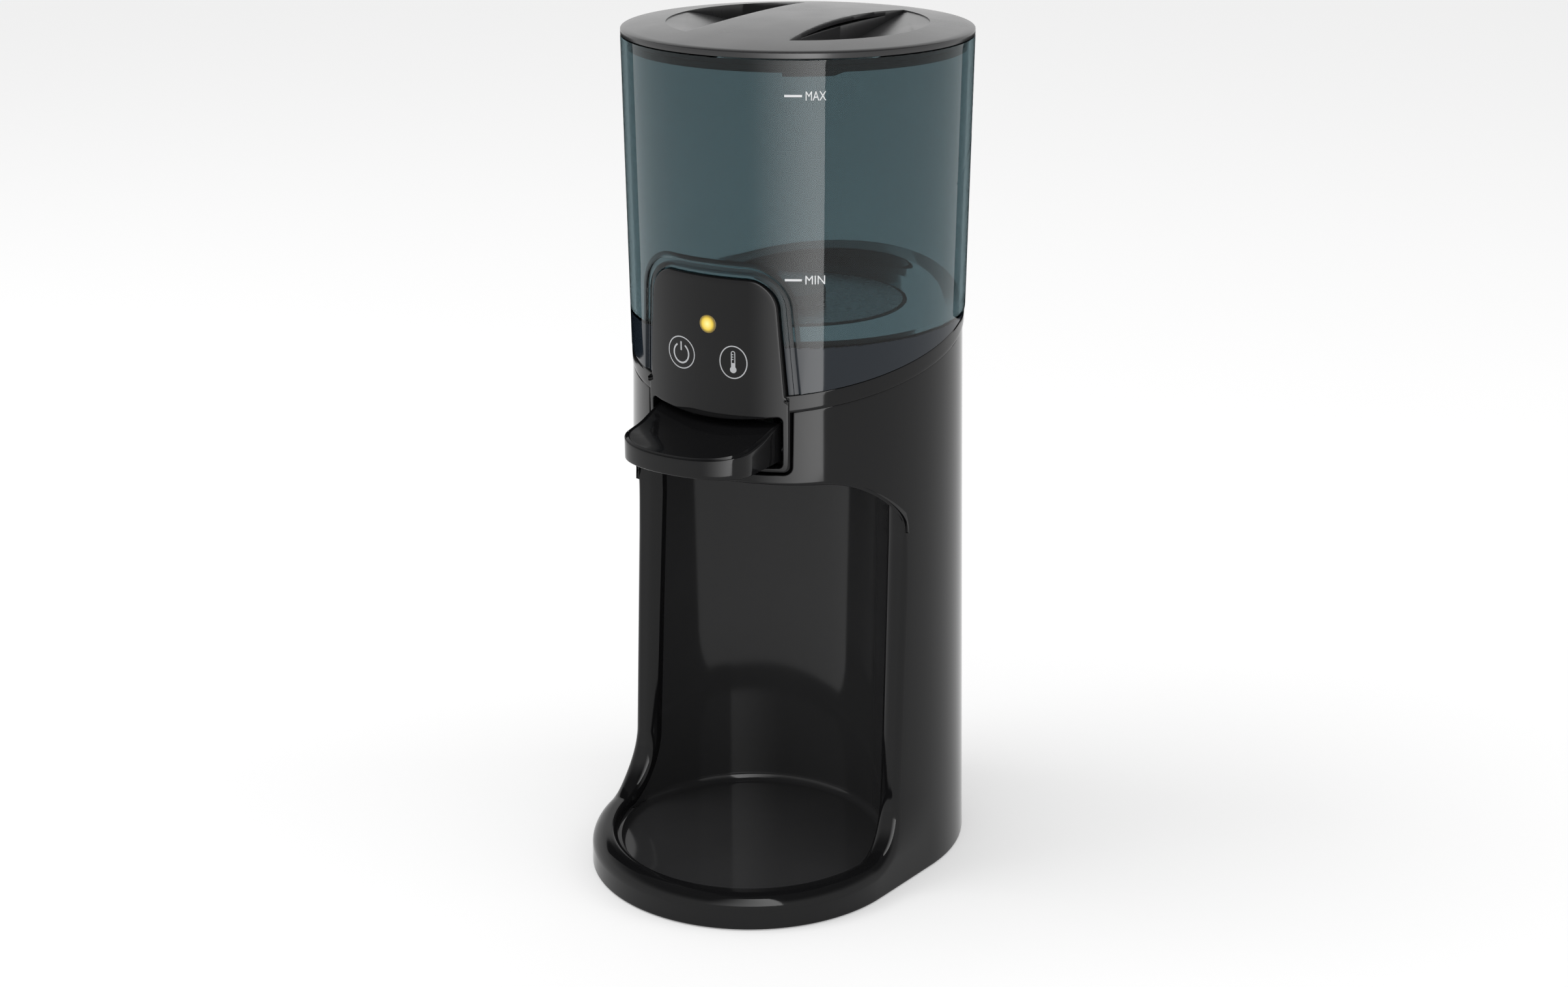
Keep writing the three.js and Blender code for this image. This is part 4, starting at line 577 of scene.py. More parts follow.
# lines in plan and their heights, from the middle of the dish over the rim and back under the foot
lever_lines = []
for share in [*np.linspace(0, 0.9, 13), 0.94, 0.97, 0.988]:
    line = hub + (dish_line - hub) * share
    bowl = (DISH_DEPTH - RIM_STEP) * (1 - share ** 4)
    lever_lines.append((line, rim_height(line[:, 1]) - RIM_STEP - bowl))
lever_lines += [(hub + (dish_line - hub) * 0.993, dish_z - RIM_STEP * 0.85),
                (dish_line, dish_z - 0.12), (mixed(dish_line, outline, 0.12), dish_z)]
lever_lines += [(mixed(dish_line, shoulder, share), mixed(dish_z, shoulder_z, share))
                for share in (0.5, 1)]
lever_lines += [(mixed(shoulder, outline, sin(t)), shoulder_z - EDGE_ROUND * (1 - cos(t)))
                for t in quarter(6)[1:]]
lever_lines += [(outline, mixed(shoulder_z - EDGE_ROUND, LEVER_FOOT_Z + EDGE_ROUND, share))
                for share in np.linspace(0, 1, 6)[1:]]
lever_lines += [(mixed(shoulder, outline, cos(t)),
                 LEVER_FOOT_Z + EDGE_ROUND * (1 - sin(t))) for t in quarter(5)[1:]]
lever_lines += [(hub + (shoulder - hub) * share, LEVER_FOOT_Z)
                for share in np.linspace(1, 0, 9)[1:]]
lever_rows = on_middle([at(line[:, 0], -line[:, 1], z) for line, z in lever_lines], 0)
paddle = welded(both_halves(lever_rows))
bpy.ops.object.mode_set(mode="EDIT")
bpy.ops.mesh.select_non_manifold(extend=False, use_wire=False, use_multi_face=False,
                                 use_non_contiguous=False, use_verts=False)
bpy.ops.mesh.edge_face_add()
bpy.ops.object.mode_set(mode="OBJECT")
face_out()


def pulled_out(outline, low_x, high_x, round_r):
    """A bar whose outline in y and z is pulled out along x, with rounded edges."""
    bpy.ops.mesh.primitive_circle_add(vertices=len(outline), radius=1, fill_type="NGON")
    bar = moved(bpy.context.object, [(low_x, y, z) for y, z in outline])
    on_all(bpy.ops.mesh.extrude_region_move,
           TRANSFORM_OT_translate={"value": (high_x - low_x, 0, 0)})
    face_out()
    on_all(bpy.ops.mesh.bevel, offset=round_r, segments=2, affect="EDGES")
    return bar


FORK_SIDE = [(-63.3, 198.5), (-63.3, 205.7), (-57, 213.2), (-39.2, 213.2), (-33.5, 212.3),
             (-33.5, 209.6), (-53.4, 209.6), (-53.4, 198.5)]
WEB_SIDE = [(-63.3, 198.5), (-63.3, 205.7), (-57, 212.9), (-47.2, 212.9), (-47.2, 209.9),
            (-53.1, 209.9), (-53.1, 198.5)]
ROOT_SIDE = [(-63.3, 195.5), (-63.3, 202.1), (-57, 202.1), (-57, 195.5)]
BARREL_R, BARREL_LENGTH, BARREL_Y, BARREL_Z = 3.6, 50, -57, 198.5
fork = [pulled_out(FORK_SIDE, -9, -4.1, 0.4), pulled_out(FORK_SIDE, 4.1, 9, 0.4),
        pulled_out(WEB_SIDE, -5, 5, 0.3), pulled_out(ROOT_SIDE, -25, 25, 0.4)]
bpy.ops.mesh.primitive_cylinder_add(vertices=48, radius=BARREL_R, depth=BARREL_LENGTH,
                                    location=(0, BARREL_Y, BARREL_Z), rotation=(0, pi / 2, 0))
barrel = bpy.context.object
bpy.ops.object.transform_apply(location=True, rotation=True, scale=True)
# This step leaves no ring in the barrel's ends and turns its faces inwards.
bpy.ops.object.mode_set(mode="EDIT")
bpy.ops.mesh.select_all(action="DESELECT")
bpy.ops.object.mode_set(mode="OBJECT")
for face in barrel.data.polygons:
    face.select = abs(face.normal.x) > 0.9
bpy.ops.object.mode_set(mode="EDIT")
bpy.ops.mesh.inset(thickness=1.9)
bpy.ops.mesh.extrude_region_move(TRANSFORM_OT_translate={"value": (0, 0, 0)})
bpy.ops.object.mode_set(mode="OBJECT")
dispense_lever = finished(set_down(welded([paddle, barrel] + fork, "lever", 0, 35)), gloss_black)
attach(dispense_lever, "lever")
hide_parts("dispense_lever")

# Lamp: a round lens of amber plastic, pressed into the panel from behind and lit through from the
# lamp on the board. It glows brightest in the middle.
LAMP_R, LAMP_X, LAMP_Z, LAMP_FRONT_Y, LAMP_DOME, LAMP_DEPTH = 4.2, 1.0, 251.3, -71.78, 0.35, 5.8


def spun(profile, name, smooth):
    """A turned piece: pairs of radius and height run round the upright axis."""
    return welded([laid_sheet([ring(r, z) for r, z in profile])], name, 0, smooth)


lens_profile = [(0, LAMP_DOME)]
lens_profile += [(LAMP_R * sin(t) * 0.93, LAMP_DOME * cos(t) ** 0.8)
                 for t in np.linspace(0.15, 1.45, 9)]
lens_profile += [(LAMP_R, -0.25), (LAMP_R, -LAMP_DEPTH), (0, -LAMP_DEPTH)]
lamp_lens = spun(lens_profile, "lamp_lens", 50)
x, y, z = spots_of(lamp_lens).T
set_down(moved(lamp_lens, at(x + LAMP_X, -z + LAMP_FRONT_Y + LAMP_DOME, y + LAMP_Z)))
face_out()
lamp_amber = moulded("lamp_amber", (0.05, 0.04, 0.01), (0.35, 0.45), 0.05, 0.01, 0.01, 0.002)
tree = lamp_amber.node_tree
lamp_middle = (LAMP_X * MM, (LAMP_FRONT_Y + AXIS_Y) * MM, LAMP_Z * MM)
here = added(tree, "TexCoord").outputs["Object"]
reach = added(tree, "VectorMath", {0: here, 1: lamp_middle}, operation="DISTANCE").outputs["Value"]
span = added(tree, "MapRange", {"Value": reach, "From Max": LAMP_R * MM}).outputs["Result"]
glow = added(tree, "ValToRGB", {"Fac": span})
ramp = glow.color_ramp.elements
ramp[0].color, ramp[1].color = (1.0, 0.93, 0.35, 1), (0.01, 0.008, 0.002, 1)
ramp.new(0.55).color = (0.85, 0.6, 0.05, 1)
ramp.new(0.8).color = (0.2, 0.13, 0.01, 1)
wired(tree, tree.nodes["Principled BSDF"], {"Emission Color": glow.outputs["Color"],
                                            "Emission Strength": 1})
finished(lamp_lens, lamp_amber)
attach(lamp_lens, "housing")
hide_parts("led_lens")

# Touch marks: two rings on the panel with a power sign and a thermometer, printed on its face in
# thin pale ink. Each line is a film a few hundredths of a millimetre thick.
INK, INK_GAP = 0.05, 0.01
RING_LINE, SIGN_LINE, FINE_LINE = 0.45, 0.7, 0.35
POWER_X, POWER_Z, HEAT_X, HEAT_Z = -12.7, 237.2, 12.4, 236.6


def inked(line, width):
    """A printed line: a strip of ink laid on the panel along points in front view."""
    run = np.gradient(line, axis=0)
    if np.allclose(line[0], line[-1]):
        run[0] = run[-1] = line[1] - line[-2]
    side = unit(at(run[:, 1], -run[:, 0]))
    edges = [line - side * width / 2, line + side * width / 2]
    return welded([laid_sheet([on_panel(*e.T, INK + INK_GAP) for e in edges])], wall=INK, smooth=30)


def stroke(start, end, width, steps=5):
    return inked(np.linspace(start, end, steps), width)


TUBE_R, TUBE_FOOT_Z, TUBE_TOP_Z = 0.75, HEAT_Z - 0.4, HEAT_Z + 3.8
tube = joined_line(np.linspace((HEAT_X - TUBE_R, TUBE_FOOT_Z), (HEAT_X - TUBE_R, TUBE_TOP_Z), 7),
                   arc(HEAT_X, TUBE_TOP_Z, TUBE_R, 180, 0, 15),
                   np.linspace((HEAT_X + TUBE_R, TUBE_TOP_Z), (HEAT_X + TUBE_R, TUBE_FOOT_Z), 7))
marks = [inked(arc(POWER_X, POWER_Z, 7.0, height=6.6), RING_LINE),
         inked(arc(POWER_X, POWER_Z - 0.3, 4.0, 120, 420, 49), SIGN_LINE),
         stroke((POWER_X, POWER_Z + 0.9), (POWER_X, POWER_Z + 4.6), SIGN_LINE),
         inked(arc(HEAT_X, HEAT_Z, 5.8, height=6.7), RING_LINE),
         inked(tube, FINE_LINE),
         stroke((HEAT_X, HEAT_Z - 2.2), (HEAT_X, HEAT_Z - 0.3), 1.8),
         inked(arc(HEAT_X, HEAT_Z - 3.1, 0.7), 1.4)]
marks += [stroke((HEAT_X - 0.7, HEAT_Z + rise), (HEAT_X + 0.1, HEAT_Z + rise), FINE_LINE, 3)
          for rise in (3.2, 2.2, 1.2)]
touch_marks = set_down(welded(marks, "touch_marks", 0, 30))
print_pale = moulded("print_pale", (0.62, 0.63, 0.65), (0.4, 0.55), 0.08, 0.02, 0.01, 0.0005)
finished(touch_marks, print_pale)
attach(touch_marks, "housing")

# Tank: blown in smoke-tinted clear plastic, flared a little to the top. In front an arch is sunk in
# it for the control panel. The heater closes its level floor, and it sits on the collar's top.
TANK_FOOT_R, TANK_FLARE, TANK_FOOT_Z, TANK_TOP_Z = 71.1, 1.9 / 125, 232, 358.7
TANK_SEAT, TANK_WALL, TANK_FLOOR_Z = 238.3, 2.4, 246
HEATER_HOLE_R, FLOOR_R = 46, 68.85
BAND, BAND_SUNK = 4.8, 1.0
POCKET_GAP, PANEL_BACK_Y = 0.4, -58.8


def tank_radius(z):
    return TANK_FOOT_R + TANK_FLARE * (z - TANK_FOOT_Z)


def on_tank(angle, z, proud=0.0):
    radius = tank_radius(z) + proud
    return at(radius * np.sin(angle), -radius * np.cos(angle), z)


def tank_front(line, proud=0.0):
    """Points of the tank's front from places in front view."""
    x, z = line.T
    return at(x, -np.sqrt((tank_radius(z) + proud) ** 2 - x ** 2), z)


def refined(line):
    """Three steps on a line for each one."""
    finer = np.linspace(0, len(line) - 1, 3 * len(line) - 2)
    return at(*(np.interp(finer, np.arange(len(line)), row) for row in line.T))


def arch_line(grow):
    """Half of the arch round the panel in front view, from the seam up to the middle."""
    foot_x = PANEL_FOOT_X + grow
    foot_z = slanted(asin(foot_x / TANK_FOOT_R), TANK_SEAT, tank_radius)
    return joined_line(
        np.linspace((foot_x, foot_z), (PANEL_X + grow, PANEL_SHOULDER_Z), 41),
        arc(PANEL_X - PANEL_R, PANEL_SHOULDER_Z, PANEL_R + grow, 0, 90, 37),
        np.linspace((PANEL_X - PANEL_R, PANEL_TOP_Z + grow), (0, PANEL_TOP_Z + grow), 19))


# the wall runs from the arch's edge out to the seat, the rear line and the brim
SEAT_STEPS, REAR_STEPS = 22, 20
band_start = arch_line(BAND + 0.9)
seat_turns = np.linspace(asin(band_start[0, 0] / TANK_FOOT_R), pi, SEAT_STEPS)
seat_line = np.array([(a, slanted(a, TANK_SEAT, tank_radius)) for a in seat_turns])
brim_steps = len(band_start) + 2 - SEAT_STEPS - REAR_STEPS
tank_marks = joined_line(
    seat_line, np.linspace((pi, seat_line[-1, 1]), (pi, TANK_TOP_Z), REAR_STEPS),
    np.linspace((pi, TANK_TOP_Z), (0, TANK_TOP_Z), brim_steps))
front_angle = np.arcsin(band_start[:, 0] / tank_radius(band_start[:, 1]))
front_marks = at(front_angle, band_start[:, 1])
spread = between(refined(front_marks), refined(tank_marks), 37)
tank_rows = on_middle(on_tank(spread[..., 0], spread[..., 1]), -1)

# the sunk band round the panel, and the pocket that takes the panel's back
band = refined(arch_line(BAND))
sharp, sunk = tank_front(band), tank_front(band, -BAND_SUNK)
half_way = mixed(sharp, sunk, 0.55)
sunk_rows = rolled(tank_front(refined(band_start)), sharp, half_way, 4)
sunk_rows += rolled(half_way, sunk, tank_front(refined(arch_line(BAND - 0.7)), -BAND_SUNK), 4)[1:]
sunk_rows += [tank_front(refined(arch_line(grow)), -BAND_SUNK)
              for grow in (3.0, 1.8, POCKET_GAP + 0.4)]
pocket_line = refined(arch_line(POCKET_GAP))
pocket_edge = tank_front(pocket_line, -BAND_SUNK)
sunk_rows += rolled(sunk_rows[-1], pocket_edge, pocket_edge + np.array([0, 0.4, 0]), 3)[1:]
pocket_x, front_y, pocket_z = pocket_edge.T
back_y = PANEL_BACK_Y + POCKET_GAP
sunk_rows += [at(pocket_x, np.maximum(mixed(front_y, back_y, share), front_y), pocket_z)
              for share in (0.5, 1)]
pocket_back = at(pocket_x, back_y, pocket_z)
pocket_hub = np.array([0, back_y, pocket_z[0]])
sunk_rows += [pocket_hub + (pocket_back - pocket_hub) * share for share in (0.8, 0.5, 0.2, 0)]
tank_sheets = both_halves(tank_rows[::-1]) + both_halves(on_middle(sunk_rows, -1))
tank_wall = welded(tank_sheets, wall=TANK_WALL, smooth=50)
spots = spots_of(tank_wall)
spots[:, :2] *= np.minimum(1, tank_radius(spots[:, 2]) / np.hypot(*spots[:, :2].T))[:, None]
moved(tank_wall, spots)


def floor_row(radius, level, seat=-inf):
    """A ring of the floor: level, but lifted to the slanted seat where that is higher."""
    return np.maximum(ring(radius, level), ring(radius, seat, SEAM_SLOPE))


floor_under = TANK_FLOOR_Z - TANK_WALL
seat_top, seat_under = TANK_SEAT + TANK_WALL, TANK_SEAT + 0.05
tank_floor = welded([laid_sheet([
    floor_row(HEATER_HOLE_R, TANK_FLOOR_Z), floor_row(61.4, TANK_FLOOR_Z),
    floor_row(62.0, TANK_FLOOR_Z, seat_top - 0.5), floor_row(FLOOR_R, TANK_FLOOR_Z, seat_top),
    floor_row(FLOOR_R, floor_under, seat_under), floor_row(64.6, floor_under, seat_under),
    floor_row(64.4, floor_under), floor_row(HEATER_HOLE_R, floor_under),
    floor_row(HEATER_HOLE_R, TANK_FLOOR_Z)])])
water_tank = set_down(welded([tank_wall, tank_floor], "tank", 0, 50))
tank_smoke = moulded("tank_smoke", (0.2, 0.275, 0.295), (0.015, 0.03), 0.03, 0.002, 0.05, 0.02,
                     more={"Transmission Weight": 1, "IOR": 1.33})
finished(water_tank, tank_smoke)
# Painted shade: below its floor the wall gets a dark finish that stands in for the shade of the
# space behind the tank's foot. Below its floor the wall is painted black inside, so the
# heater's wiring doesn't show.
painted_shade_foot = moulded("painted_shade_foot", (0.014, 0.02, 0.028), (0.05, 0.08), 0.05, 0.002, 0.05, 0.02,
                     more={"IOR": 1.36})
water_tank.data.materials.append(painted_shade_foot)
# wall faces below the floor take the painted shade
for face in water_tank.data.polygons:
    x, y, z = face.center / MM
    y -= AXIS_Y
    in_wall = hypot(x, y) > tank_radius(z) - TANK_WALL - 0.6
    if in_wall and z < max(floor_under, TANK_SEAT + SEAM_SLOPE * y):
        face.material_index = 1
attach(water_tank, "housing")
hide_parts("water_tank")

# Water marks: MAX and MIN with a short line each, printed on the tank's right in pale ink.
MARK_LINE, LETTER_HEIGHT, LETTERS_WIDTH = 0.9, 3.6, 7.8
CAPITAL_SHARE = 0.7
MAX_Z, MIN_Z = 345.0, 271.8
LINE_START, LINE_END, LETTERS_START = radians(27.2), radians(32.6), radians(33.7)


def lettering(words, z):
    """Plain letters wrapped round the tank, each a film of ink with its back just off the wall."""
    bpy.ops.object.text_add()
    words_data = bpy.context.object.data
    words_data.body = words
    words_data.align_y = "CENTER"
    words_data.size = LETTER_HEIGHT / CAPITAL_SHARE
    bpy.ops.object.convert(target="MESH")
    letters = bpy.context.object
    x, y, _ = spots_of(letters).T
    angle = LETTERS_START + (x - x.min()) * LETTERS_WIDTH / np.ptp(x) / TANK_FOOT_R
    moved(letters, on_tank(angle, z + y - (y.min() + y.max()) / 2, INK + INK_GAP))
    return welded([letters], wall=INK, smooth=30)


def level_line(z):
    angles = np.linspace(LINE_START, LINE_END, 9)
    edges = [on_tank(angles, z + side * MARK_LINE / 2, INK + INK_GAP) for side in (1, -1)]
    return welded([laid_sheet(edges)], wall=INK, smooth=30)


marks = [level_line(MAX_Z), lettering("MAX", MAX_Z), level_line(MIN_Z), lettering("MIN", MIN_Z)]
water_marks = set_down(welded(marks, "water_marks", 0, 30))
mark_white = moulded("mark_white", (0.86, 0.87, 0.88), (0.4, 0.55), 0.08, 0.02, 0.01, 0.0005)
finished(water_marks, mark_white)
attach(water_marks, "housing")

# Lid: a domed cap in satin grey plastic with two finger recesses either side of the grip, each with
# a ramp at one end. It lies on the tank's brim, and its liner and seal hang inside.
LID_R, LID_FOOT_Z, LID_RIM_Z, LID_DOME, LID_ROUND = 73.0, 359.1, 361.5, 4.5, 0.5
LID_INSIDE_R, LID_CROWN_WALL, LID_EDGE_ROUND = 67, 2, 0.35
RECESS_R, RECESS_WALL, GRIP_X, GRIP_Y, GRIP_R = 54.3, 2.0, 19.4, 10.0, 290.0
RECESS_FLOOR_Z, SHELF_Z, SHELF_SLOPE, OVER_LID_Z = 351.8, 363.1, 0.03, 372
RAMP_RISE, RAMP_RIM_REACH, RAMP_TURN = 0.35, 41.8, radians(58.6)


def dome(radius):
    return LID_RIM_Z + LID_DOME * (1 - (radius / LID_R) ** 2)


crown_r = LID_R - LID_ROUND
profile = [(r, dome(r)) for r in np.linspace(0, crown_r, 25)]
profile += [(crown_r + LID_ROUND * sin(t), LID_RIM_Z - LID_ROUND + LID_ROUND * cos(t))
            for t in np.radians([12, 30, 50, 70, 90])]
profile += [(LID_R, LID_FOOT_Z + 0.4), (LID_R - 0.12, LID_FOOT_Z + 0.12), (LID_R - 0.4, LID_FOOT_Z),
            (LID_INSIDE_R + 0.2, LID_FOOT_Z), (LID_INSIDE_R, LID_FOOT_Z + 0.2)]
profile += [(r, dome(r) - LID_CROWN_WALL) for r in np.linspace(LID_INSIDE_R, 0, 20)]
lid_cap = spun(profile, "lid_cover", 40)


def recess_floor(x, y):
    """The floor is level in front, climbs across the recess and ends in a shelf at the brim."""
    reach = x * sin(RAMP_TURN) + y * cos(RAMP_TURN)
    ramp = LID_RIM_Z + RAMP_RISE * (reach - RAMP_RIM_REACH)
    return min(max(RECESS_FLOOR_Z, ramp), SHELF_Z - SHELF_SLOPE * (RECESS_R - hypot(x, y)))


def recess_cutter(side, grow):
    """The space of a finger recess, closed over the dome, or with its wall and closed under it."""
    waist = GRIP_X + GRIP_R
    far_r, near_r = RECESS_R + grow, GRIP_R + grow
    top = dome(RECESS_R) - 1.0 if grow else OVER_LID_Z
    span = hypot(waist, GRIP_Y)
    share = (span ** 2 + far_r ** 2 - near_r ** 2) / (2 * span)
    half = sqrt(far_r ** 2 - share ** 2)
    ends = [(share * GRIP_Y - k * half * waist) / span for k in (1, -1)]
    columns = []
    for part in np.sin(np.linspace(-pi / 2, pi / 2, 97)):
        y = (ends[0] + ends[1]) / 2 + (ends[1] - ends[0]) / 2 * part
        near = waist - sqrt(near_r ** 2 - (y - GRIP_Y) ** 2)
        far = max(near, sqrt(far_r ** 2 - y * y))
        xs = np.linspace(near, far, 25)
        floors = [min(recess_floor(x, y) - grow, top - 0.01) for x in xs]
        columns.append([(near, y, top), (near, y, (top + floors[0]) / 2)]
                       + [(x, y, floor) for x, floor in zip(xs, floors)]
                       + [(far, y, (top + floors[-1]) / 2)] + [(x, y, top) for x in xs[::-1]])
    rows = np.array(columns).transpose(1, 0, 2)
    cutter = welded([laid_sheet(rows * np.array([side, side, 1]))], smooth=30)
    on_all(bpy.ops.mesh.dissolve_degenerate, threshold=0.001)
    face_out()
    return cutter


def carved(piece, tool, how):
    applied(picked(piece), "BOOLEAN", operation=how, object=tool, solver="EXACT")
    bpy.data.objects.remove(tool)


for grow, how in ((RECESS_WALL, "UNION"), (0.0, "DIFFERENCE")):
    for side in (1, -1):
        carved(lid_cap, recess_cutter(side, grow), how)
applied(picked(lid_cap), "BEVEL", width=LID_EDGE_ROUND, segments=2, limit_method="ANGLE",
        angle_limit=radians(40), use_clamp_overlap=True)
shade(40)
lid_satin = moulded("lid_satin", (0.024, 0.024, 0.025), (0.22, 0.3), 0.12, 0.06, 0.02, 0.0006)
finished(set_down(lid_cap), lid_satin)
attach(lid_cap, "lid")
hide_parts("lid_cap")


# Parts bought in or moulded plain: their drawn shapes stay, and each gets the finish of what it is
# made of. Metal parts come first, then rubber and hose, then plastics, boards and leads.
def clad(finish, *names):
    """Gives parts that keep their drawn shape a finish of their own."""
    for name in names:
        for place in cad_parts[name].material_slots:
            place.material = finish


brushed_steel = moulded("brushed_steel", (0.5, 0.505, 0.51), (0.2, 0.34), 0.06, 0.08, 0.006,
                        0.0003, 1.0)
clad(brushed_steel, "heater_plate", "heater_clamp_ring", "lever_pin", "hose_clamp_upper",
     "hose_clamp_lower")
clad(moulded("zinc_steel", (0.42, 0.43, 0.45), (0.3, 0.45), 0.1, 0.06, 0.003, 0.0004, 1.0),
     "clamp_screw_rear", "clamp_screw_left", "clamp_screw_right", "bracket_screw_left",
     "bracket_screw_right", "board_screw_left", "board_screw_right", "base_screw_front_right",
     "base_screw_rear_right", "base_screw_rear_left", "base_screw_front_left")
clad(moulded("heater_sheath", (0.3, 0.29, 0.28), (0.35, 0.55), 0.2, 0.1, 0.004, 0.0004, 1.0),
     "heater_element")
clad(moulded("turned_brass", (0.6, 0.43, 0.17), (0.2, 0.32), 0.08, 0.04, 0.004, 0.0004, 1.0),
     "temperature_sensor", "inlet_pin_left", "inlet_pin_right")
clad(moulded("seal_rubber", (0.022, 0.022, 0.023), (0.55, 0.7), 0.15, 0.3, 0.006, 0.0004),
     "lid_seal", "heater_seal", "plunger_seal", "touch_pads", "foot_front_left", "foot_front_right",
     "foot_rear_left", "foot_rear_right")
clad(moulded("hose_silicone", (0.62, 0.62, 0.6), (0.35, 0.5), 0.05, 0.05, 0.01, 0.0006,
             more={"Subsurface Weight": 0.3, "Subsurface Radius": (0.002, 0.002, 0.002)}),
     "outlet_hose")
clad(moulded("grained_black", (0.014, 0.014, 0.0145), (0.38, 0.5), 0.12, 0.35, 0.02, 0.0006),
     "outlet_strainer", "tap_bracket", "base_plate", "power_inlet")
clad(moulded("moulded_black", (0.012, 0.012, 0.0125), (0.1, 0.16), 0.1, 0.02, 0.02, 0.003),
     "outlet_nozzle")
clad(moulded("case_black", (0.02, 0.02, 0.021), (0.3, 0.4), 0.1, 0.1, 0.006, 0.0005),
     "board_relay", "board_capacitor")
clad(moulded("inner_grey", (0.03, 0.03, 0.031), (0.35, 0.45), 0.12, 0.1, 0.01, 0.0006), "lid_liner")
clad(moulded("natural_white", (0.68, 0.68, 0.65), (0.3, 0.42), 0.06, 0.08, 0.01, 0.0008),
     "outlet_fitting", "outlet_nut", "valve_body", "valve_cap", "valve_plunger")
clad(moulded("case_white", (0.72, 0.71, 0.66), (0.35, 0.5), 0.06, 0.05, 0.005, 0.0006),
     "thermal_cutout", "board_connectors", "status_led")
clad(moulded("board_green", (0.012, 0.1, 0.035), (0.3, 0.42), 0.2, 0.06, 0.004, 0.0004),
     "control_board", "touch_board")
clad(moulded("wound_copper", (0.55, 0.25, 0.08), (0.35, 0.5), 0.15, 0.2, 0.003, 0.0003, 0.7),
     "board_transformer")
for name, colour, lead in (("lead_red", (0.45, 0.02, 0.015), "heater_leads"),
                           ("lead_black", (0.02, 0.02, 0.02), "sensor_leads"),
                           ("lead_blue", (0.02, 0.08, 0.4), "mains_leads")):
    clad(moulded(name, colour, (0.4, 0.5), 0.1, 0.05, 0.006, 0.0005), lead)
clad(moulded("ribbon_grey", (0.38, 0.38, 0.38), (0.45, 0.55), 0.08, 0.08, 0.004, 0.0005),
     "panel_ribbon")

# Socket's opening: a rounded slot low in the back of the column, cut through the wall, with the
# socket set in it from the inside.
SLOT_SIZE, SLOT_PLACE, SLOT_ROUND = (24.4, 14, 16.4), (0, 73, 24), 2.2
bpy.ops.mesh.primitive_cube_add(size=1)
slot_cutter = bpy.context.object
set_down(moved(slot_cutter, spots_of(slot_cutter) * SLOT_SIZE + SLOT_PLACE))
applied(slot_cutter, "BEVEL", width=SLOT_ROUND * MM, segments=5)
carved(body_shell, slot_cutter, "DIFFERENCE")
shade(40)

# Return spring: steel wire between the tap's cap and the plunger. Its mesh is in metres, so the
# weld collapses its coils.
def placed(name, data):
    thing = bpy.data.objects.new(name, data)
    bpy.context.scene.collection.objects.link(thing)
    return thing


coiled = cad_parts["valve_spring"]
return_spring = placed("return_spring", coiled.data.copy())
return_spring.data.transform(coiled.matrix_world)
return_spring = finished(welded([return_spring], "return_spring", 0, 60), brushed_steel)
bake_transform(return_spring)
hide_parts("valve_spring")


# Stage: a pale table, a white room, soft lamps, a tall strip softbox whose reflection runs down the
# front, two black flags that darken the sides, and the camera at the photograph's angle.
def glowing(name, strength, fade=None):
    """A lamp cloth that glows; a fade, from one place across the card to another, thins it out."""
    cloth, tree = new_finish(name)
    tree.nodes.remove(tree.nodes["Principled BSDF"])
    light = added(tree, "Emission", {"Color": (1, 1, 1, 1), "Strength": strength}).outputs[0]
    if fade:
        here = added(tree, "TexCoord").outputs["Object"]
        across = added(tree, "SeparateXYZ", {0: here}).outputs["X"]
        span = added(tree, "MapRange", {"Value": across, "From Min": fade[0], "From Max": fade[1]})
        curve = added(tree, "ValToRGB", {"Fac": span.outputs["Result"]})
        curve.color_ramp.interpolation = "EASE"
        clear = added(tree, "BsdfTransparent").outputs[0]
        mixer = added(tree, "MixShader", {"Fac": curve.outputs["Color"], 1: clear, 2: light})
        light = mixer.outputs[0]
    wired(tree, tree.nodes["Material Output"], {"Surface": light})
    return cloth


def card(name, width, height, azimuth, distance, low, cloth):
    """An upright card that faces the column, seen in reflections only."""
    azimuth = radians(azimuth)
    bpy.ops.mesh.primitive_plane_add(size=1)
    sheet = bpy.context.object
    sheet.name = name
    sheet.scale = (width, height, 1)
    bpy.ops.object.transform_apply(location=False, rotation=False, scale=True)
    sheet.rotation_euler = (pi / 2, 0, azimuth)
    sheet.location = (distance * sin(azimuth), AXIS_Y * MM - distance * cos(azimuth),
                      low + height / 2)
    sheet.visible_camera = sheet.visible_diffuse = False
    sheet.visible_shadow = sheet.visible_transmission = False
    sheet.data.materials.append(cloth)


STRIP_GLOW, STRIP_FADE = 7.0, (-0.15, 0.18)
card("strip_card", 0.37, 0.9, 21.2, 0.38, 0.085, glowing("strip_cloth", STRIP_GLOW, STRIP_FADE))
flag_cloth = glowing("flag_cloth", 0.0)
card("flag_right", 0.26, 0.146, 178, 0.25, 0.179, flag_cloth)
card("flag_left", 0.26, 0.168, 244, 0.25, 0.157, flag_cloth)


def seen_directly(tree):
    """One for what is seen directly, in a reflection or through clear plastic, and else nought."""
    ray = added(tree, "LightPath").outputs
    seen = ray["Is Camera Ray"]
    for other in ("Is Glossy Ray", "Is Transmission Ray"):
        seen = added(tree, "Math", {0: seen, 1: ray[other]}, operation="MAXIMUM").outputs[0]
    return seen


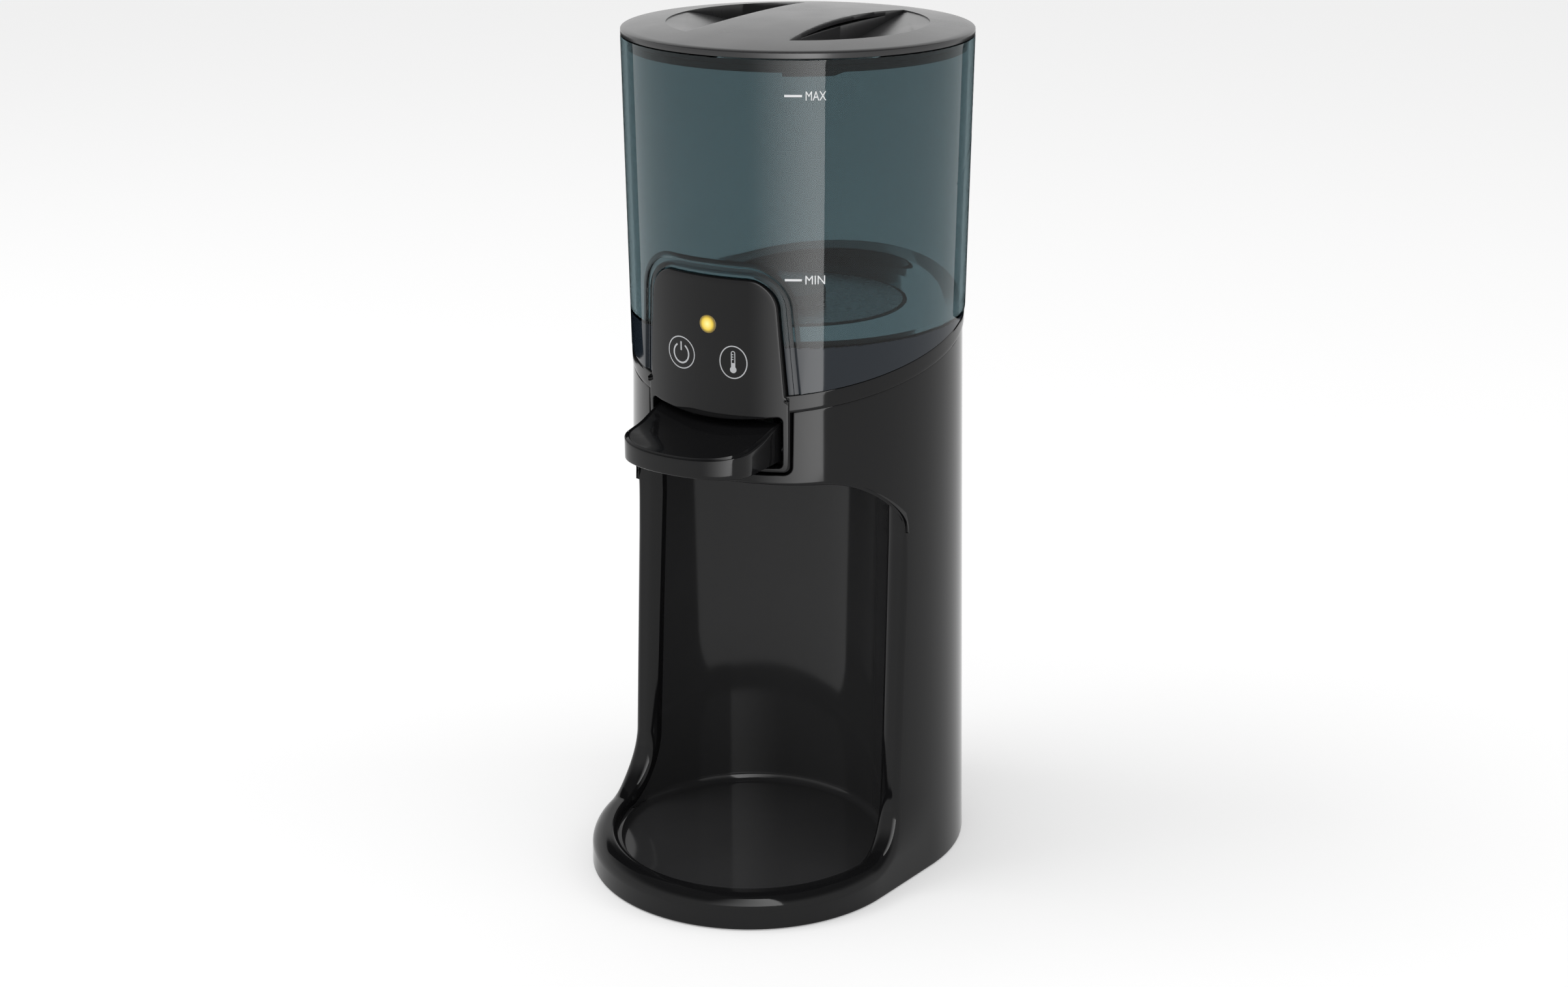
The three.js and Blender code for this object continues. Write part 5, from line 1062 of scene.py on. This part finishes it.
bpy.ops.mesh.primitive_plane_add(size=8)
table = bpy.context.object
table.name = "table"
TABLE_LIFT = 0.3
table_paper, tree = new_finish("table_paper")
paper = wired(tree, tree.nodes["Principled BSDF"], {
    "Base Color": (0.88, 0.88, 0.88, 1), "Roughness": 0.9, "Specular IOR Level": 0})
lift = added(tree, "Math", {0: seen_directly(tree), 1: TABLE_LIFT}, operation="MULTIPLY")
shine = added(tree, "Emission", {"Strength": lift.outputs[0]})
both = added(tree, "AddShader", {0: paper.outputs[0], 1: shine.outputs[0]})
wired(tree, tree.nodes["Material Output"], {"Surface": both.outputs[0]})
table.data.materials.append(table_paper)

# the room: bright where it is seen, darker overhead, and dimmer where it only gives light
ROOM_LIGHT, OVERHEAD = 0.62, 0.12
world = bpy.data.worlds.new("studio")
bpy.context.scene.world = world
world.use_nodes = True
tree = world.node_tree
room = wired(tree, tree.nodes["Background"], {"Color": (1, 1, 1, 1), "Strength": ROOM_LIGHT})
here = added(tree, "TexCoord").outputs["Generated"]
up = added(tree, "SeparateXYZ", {0: here}).outputs["Z"]
ceiling = added(tree, "MapRange", {"Value": up, "From Min": 0.3, "From Max": 0.8, "To Min": 1.0,
                                   "To Max": OVERHEAD}, interpolation_type="SMOOTHSTEP")
white = added(tree, "Background", {"Color": (1, 1, 1, 1), "Strength": ceiling.outputs["Result"]})
either = added(tree, "MixShader", {"Fac": seen_directly(tree), 1: room.outputs[0],
                                   2: white.outputs[0]})
wired(tree, tree.nodes["World Output"], {"Surface": either.outputs[0]})


def softbox(name, size, energy, place, aim):
    lamp_data = bpy.data.lights.new(name, "AREA")
    lamp_data.shape = "RECTANGLE"
    lamp_data.size, lamp_data.size_y = size
    lamp_data.energy = energy
    lamp = placed(name, lamp_data)
    lamp.location = place
    lamp.visible_glossy = False
    lamp.rotation_euler = (Vector(aim) - Vector(place)).to_track_quat("-Z", "Y").to_euler()


LIT_PLACE = (0, 0, 0.15)
softbox("key_softbox", (1.0, 1.0), 9, (-0.9, -0.6, 1.7), LIT_PLACE)
softbox("fill_softbox", (1.0, 1.2), 5, (1.5, 0.6, 1.2), LIT_PLACE)

# the camera was fitted to the photograph, whose width, focal length and shift are in its pixels
PHOTO_WIDTH, PHOTO_FOCAL, PHOTO_SHIFT = 2408, 3800, -21.3
CAMERA_DOWN, CAMERA_TURN = 18.98, 31.3
SENSOR = 36
camera_data = bpy.data.cameras.new("camera")
camera = placed("camera", camera_data)
camera_data.lens = PHOTO_FOCAL / PHOTO_WIDTH * SENSOR
camera_data.sensor_width = SENSOR
camera_data.shift_x = PHOTO_SHIFT / PHOTO_WIDTH
camera_data.clip_start = 0.01
camera.location = (0.5326, -0.8759 + AXIS_Y * MM, 0.5105)
camera.rotation_euler = (radians(90 - CAMERA_DOWN), 0, radians(CAMERA_TURN))
bpy.context.scene.camera = camera
bpy.context.scene.view_settings.view_transform = "Standard"
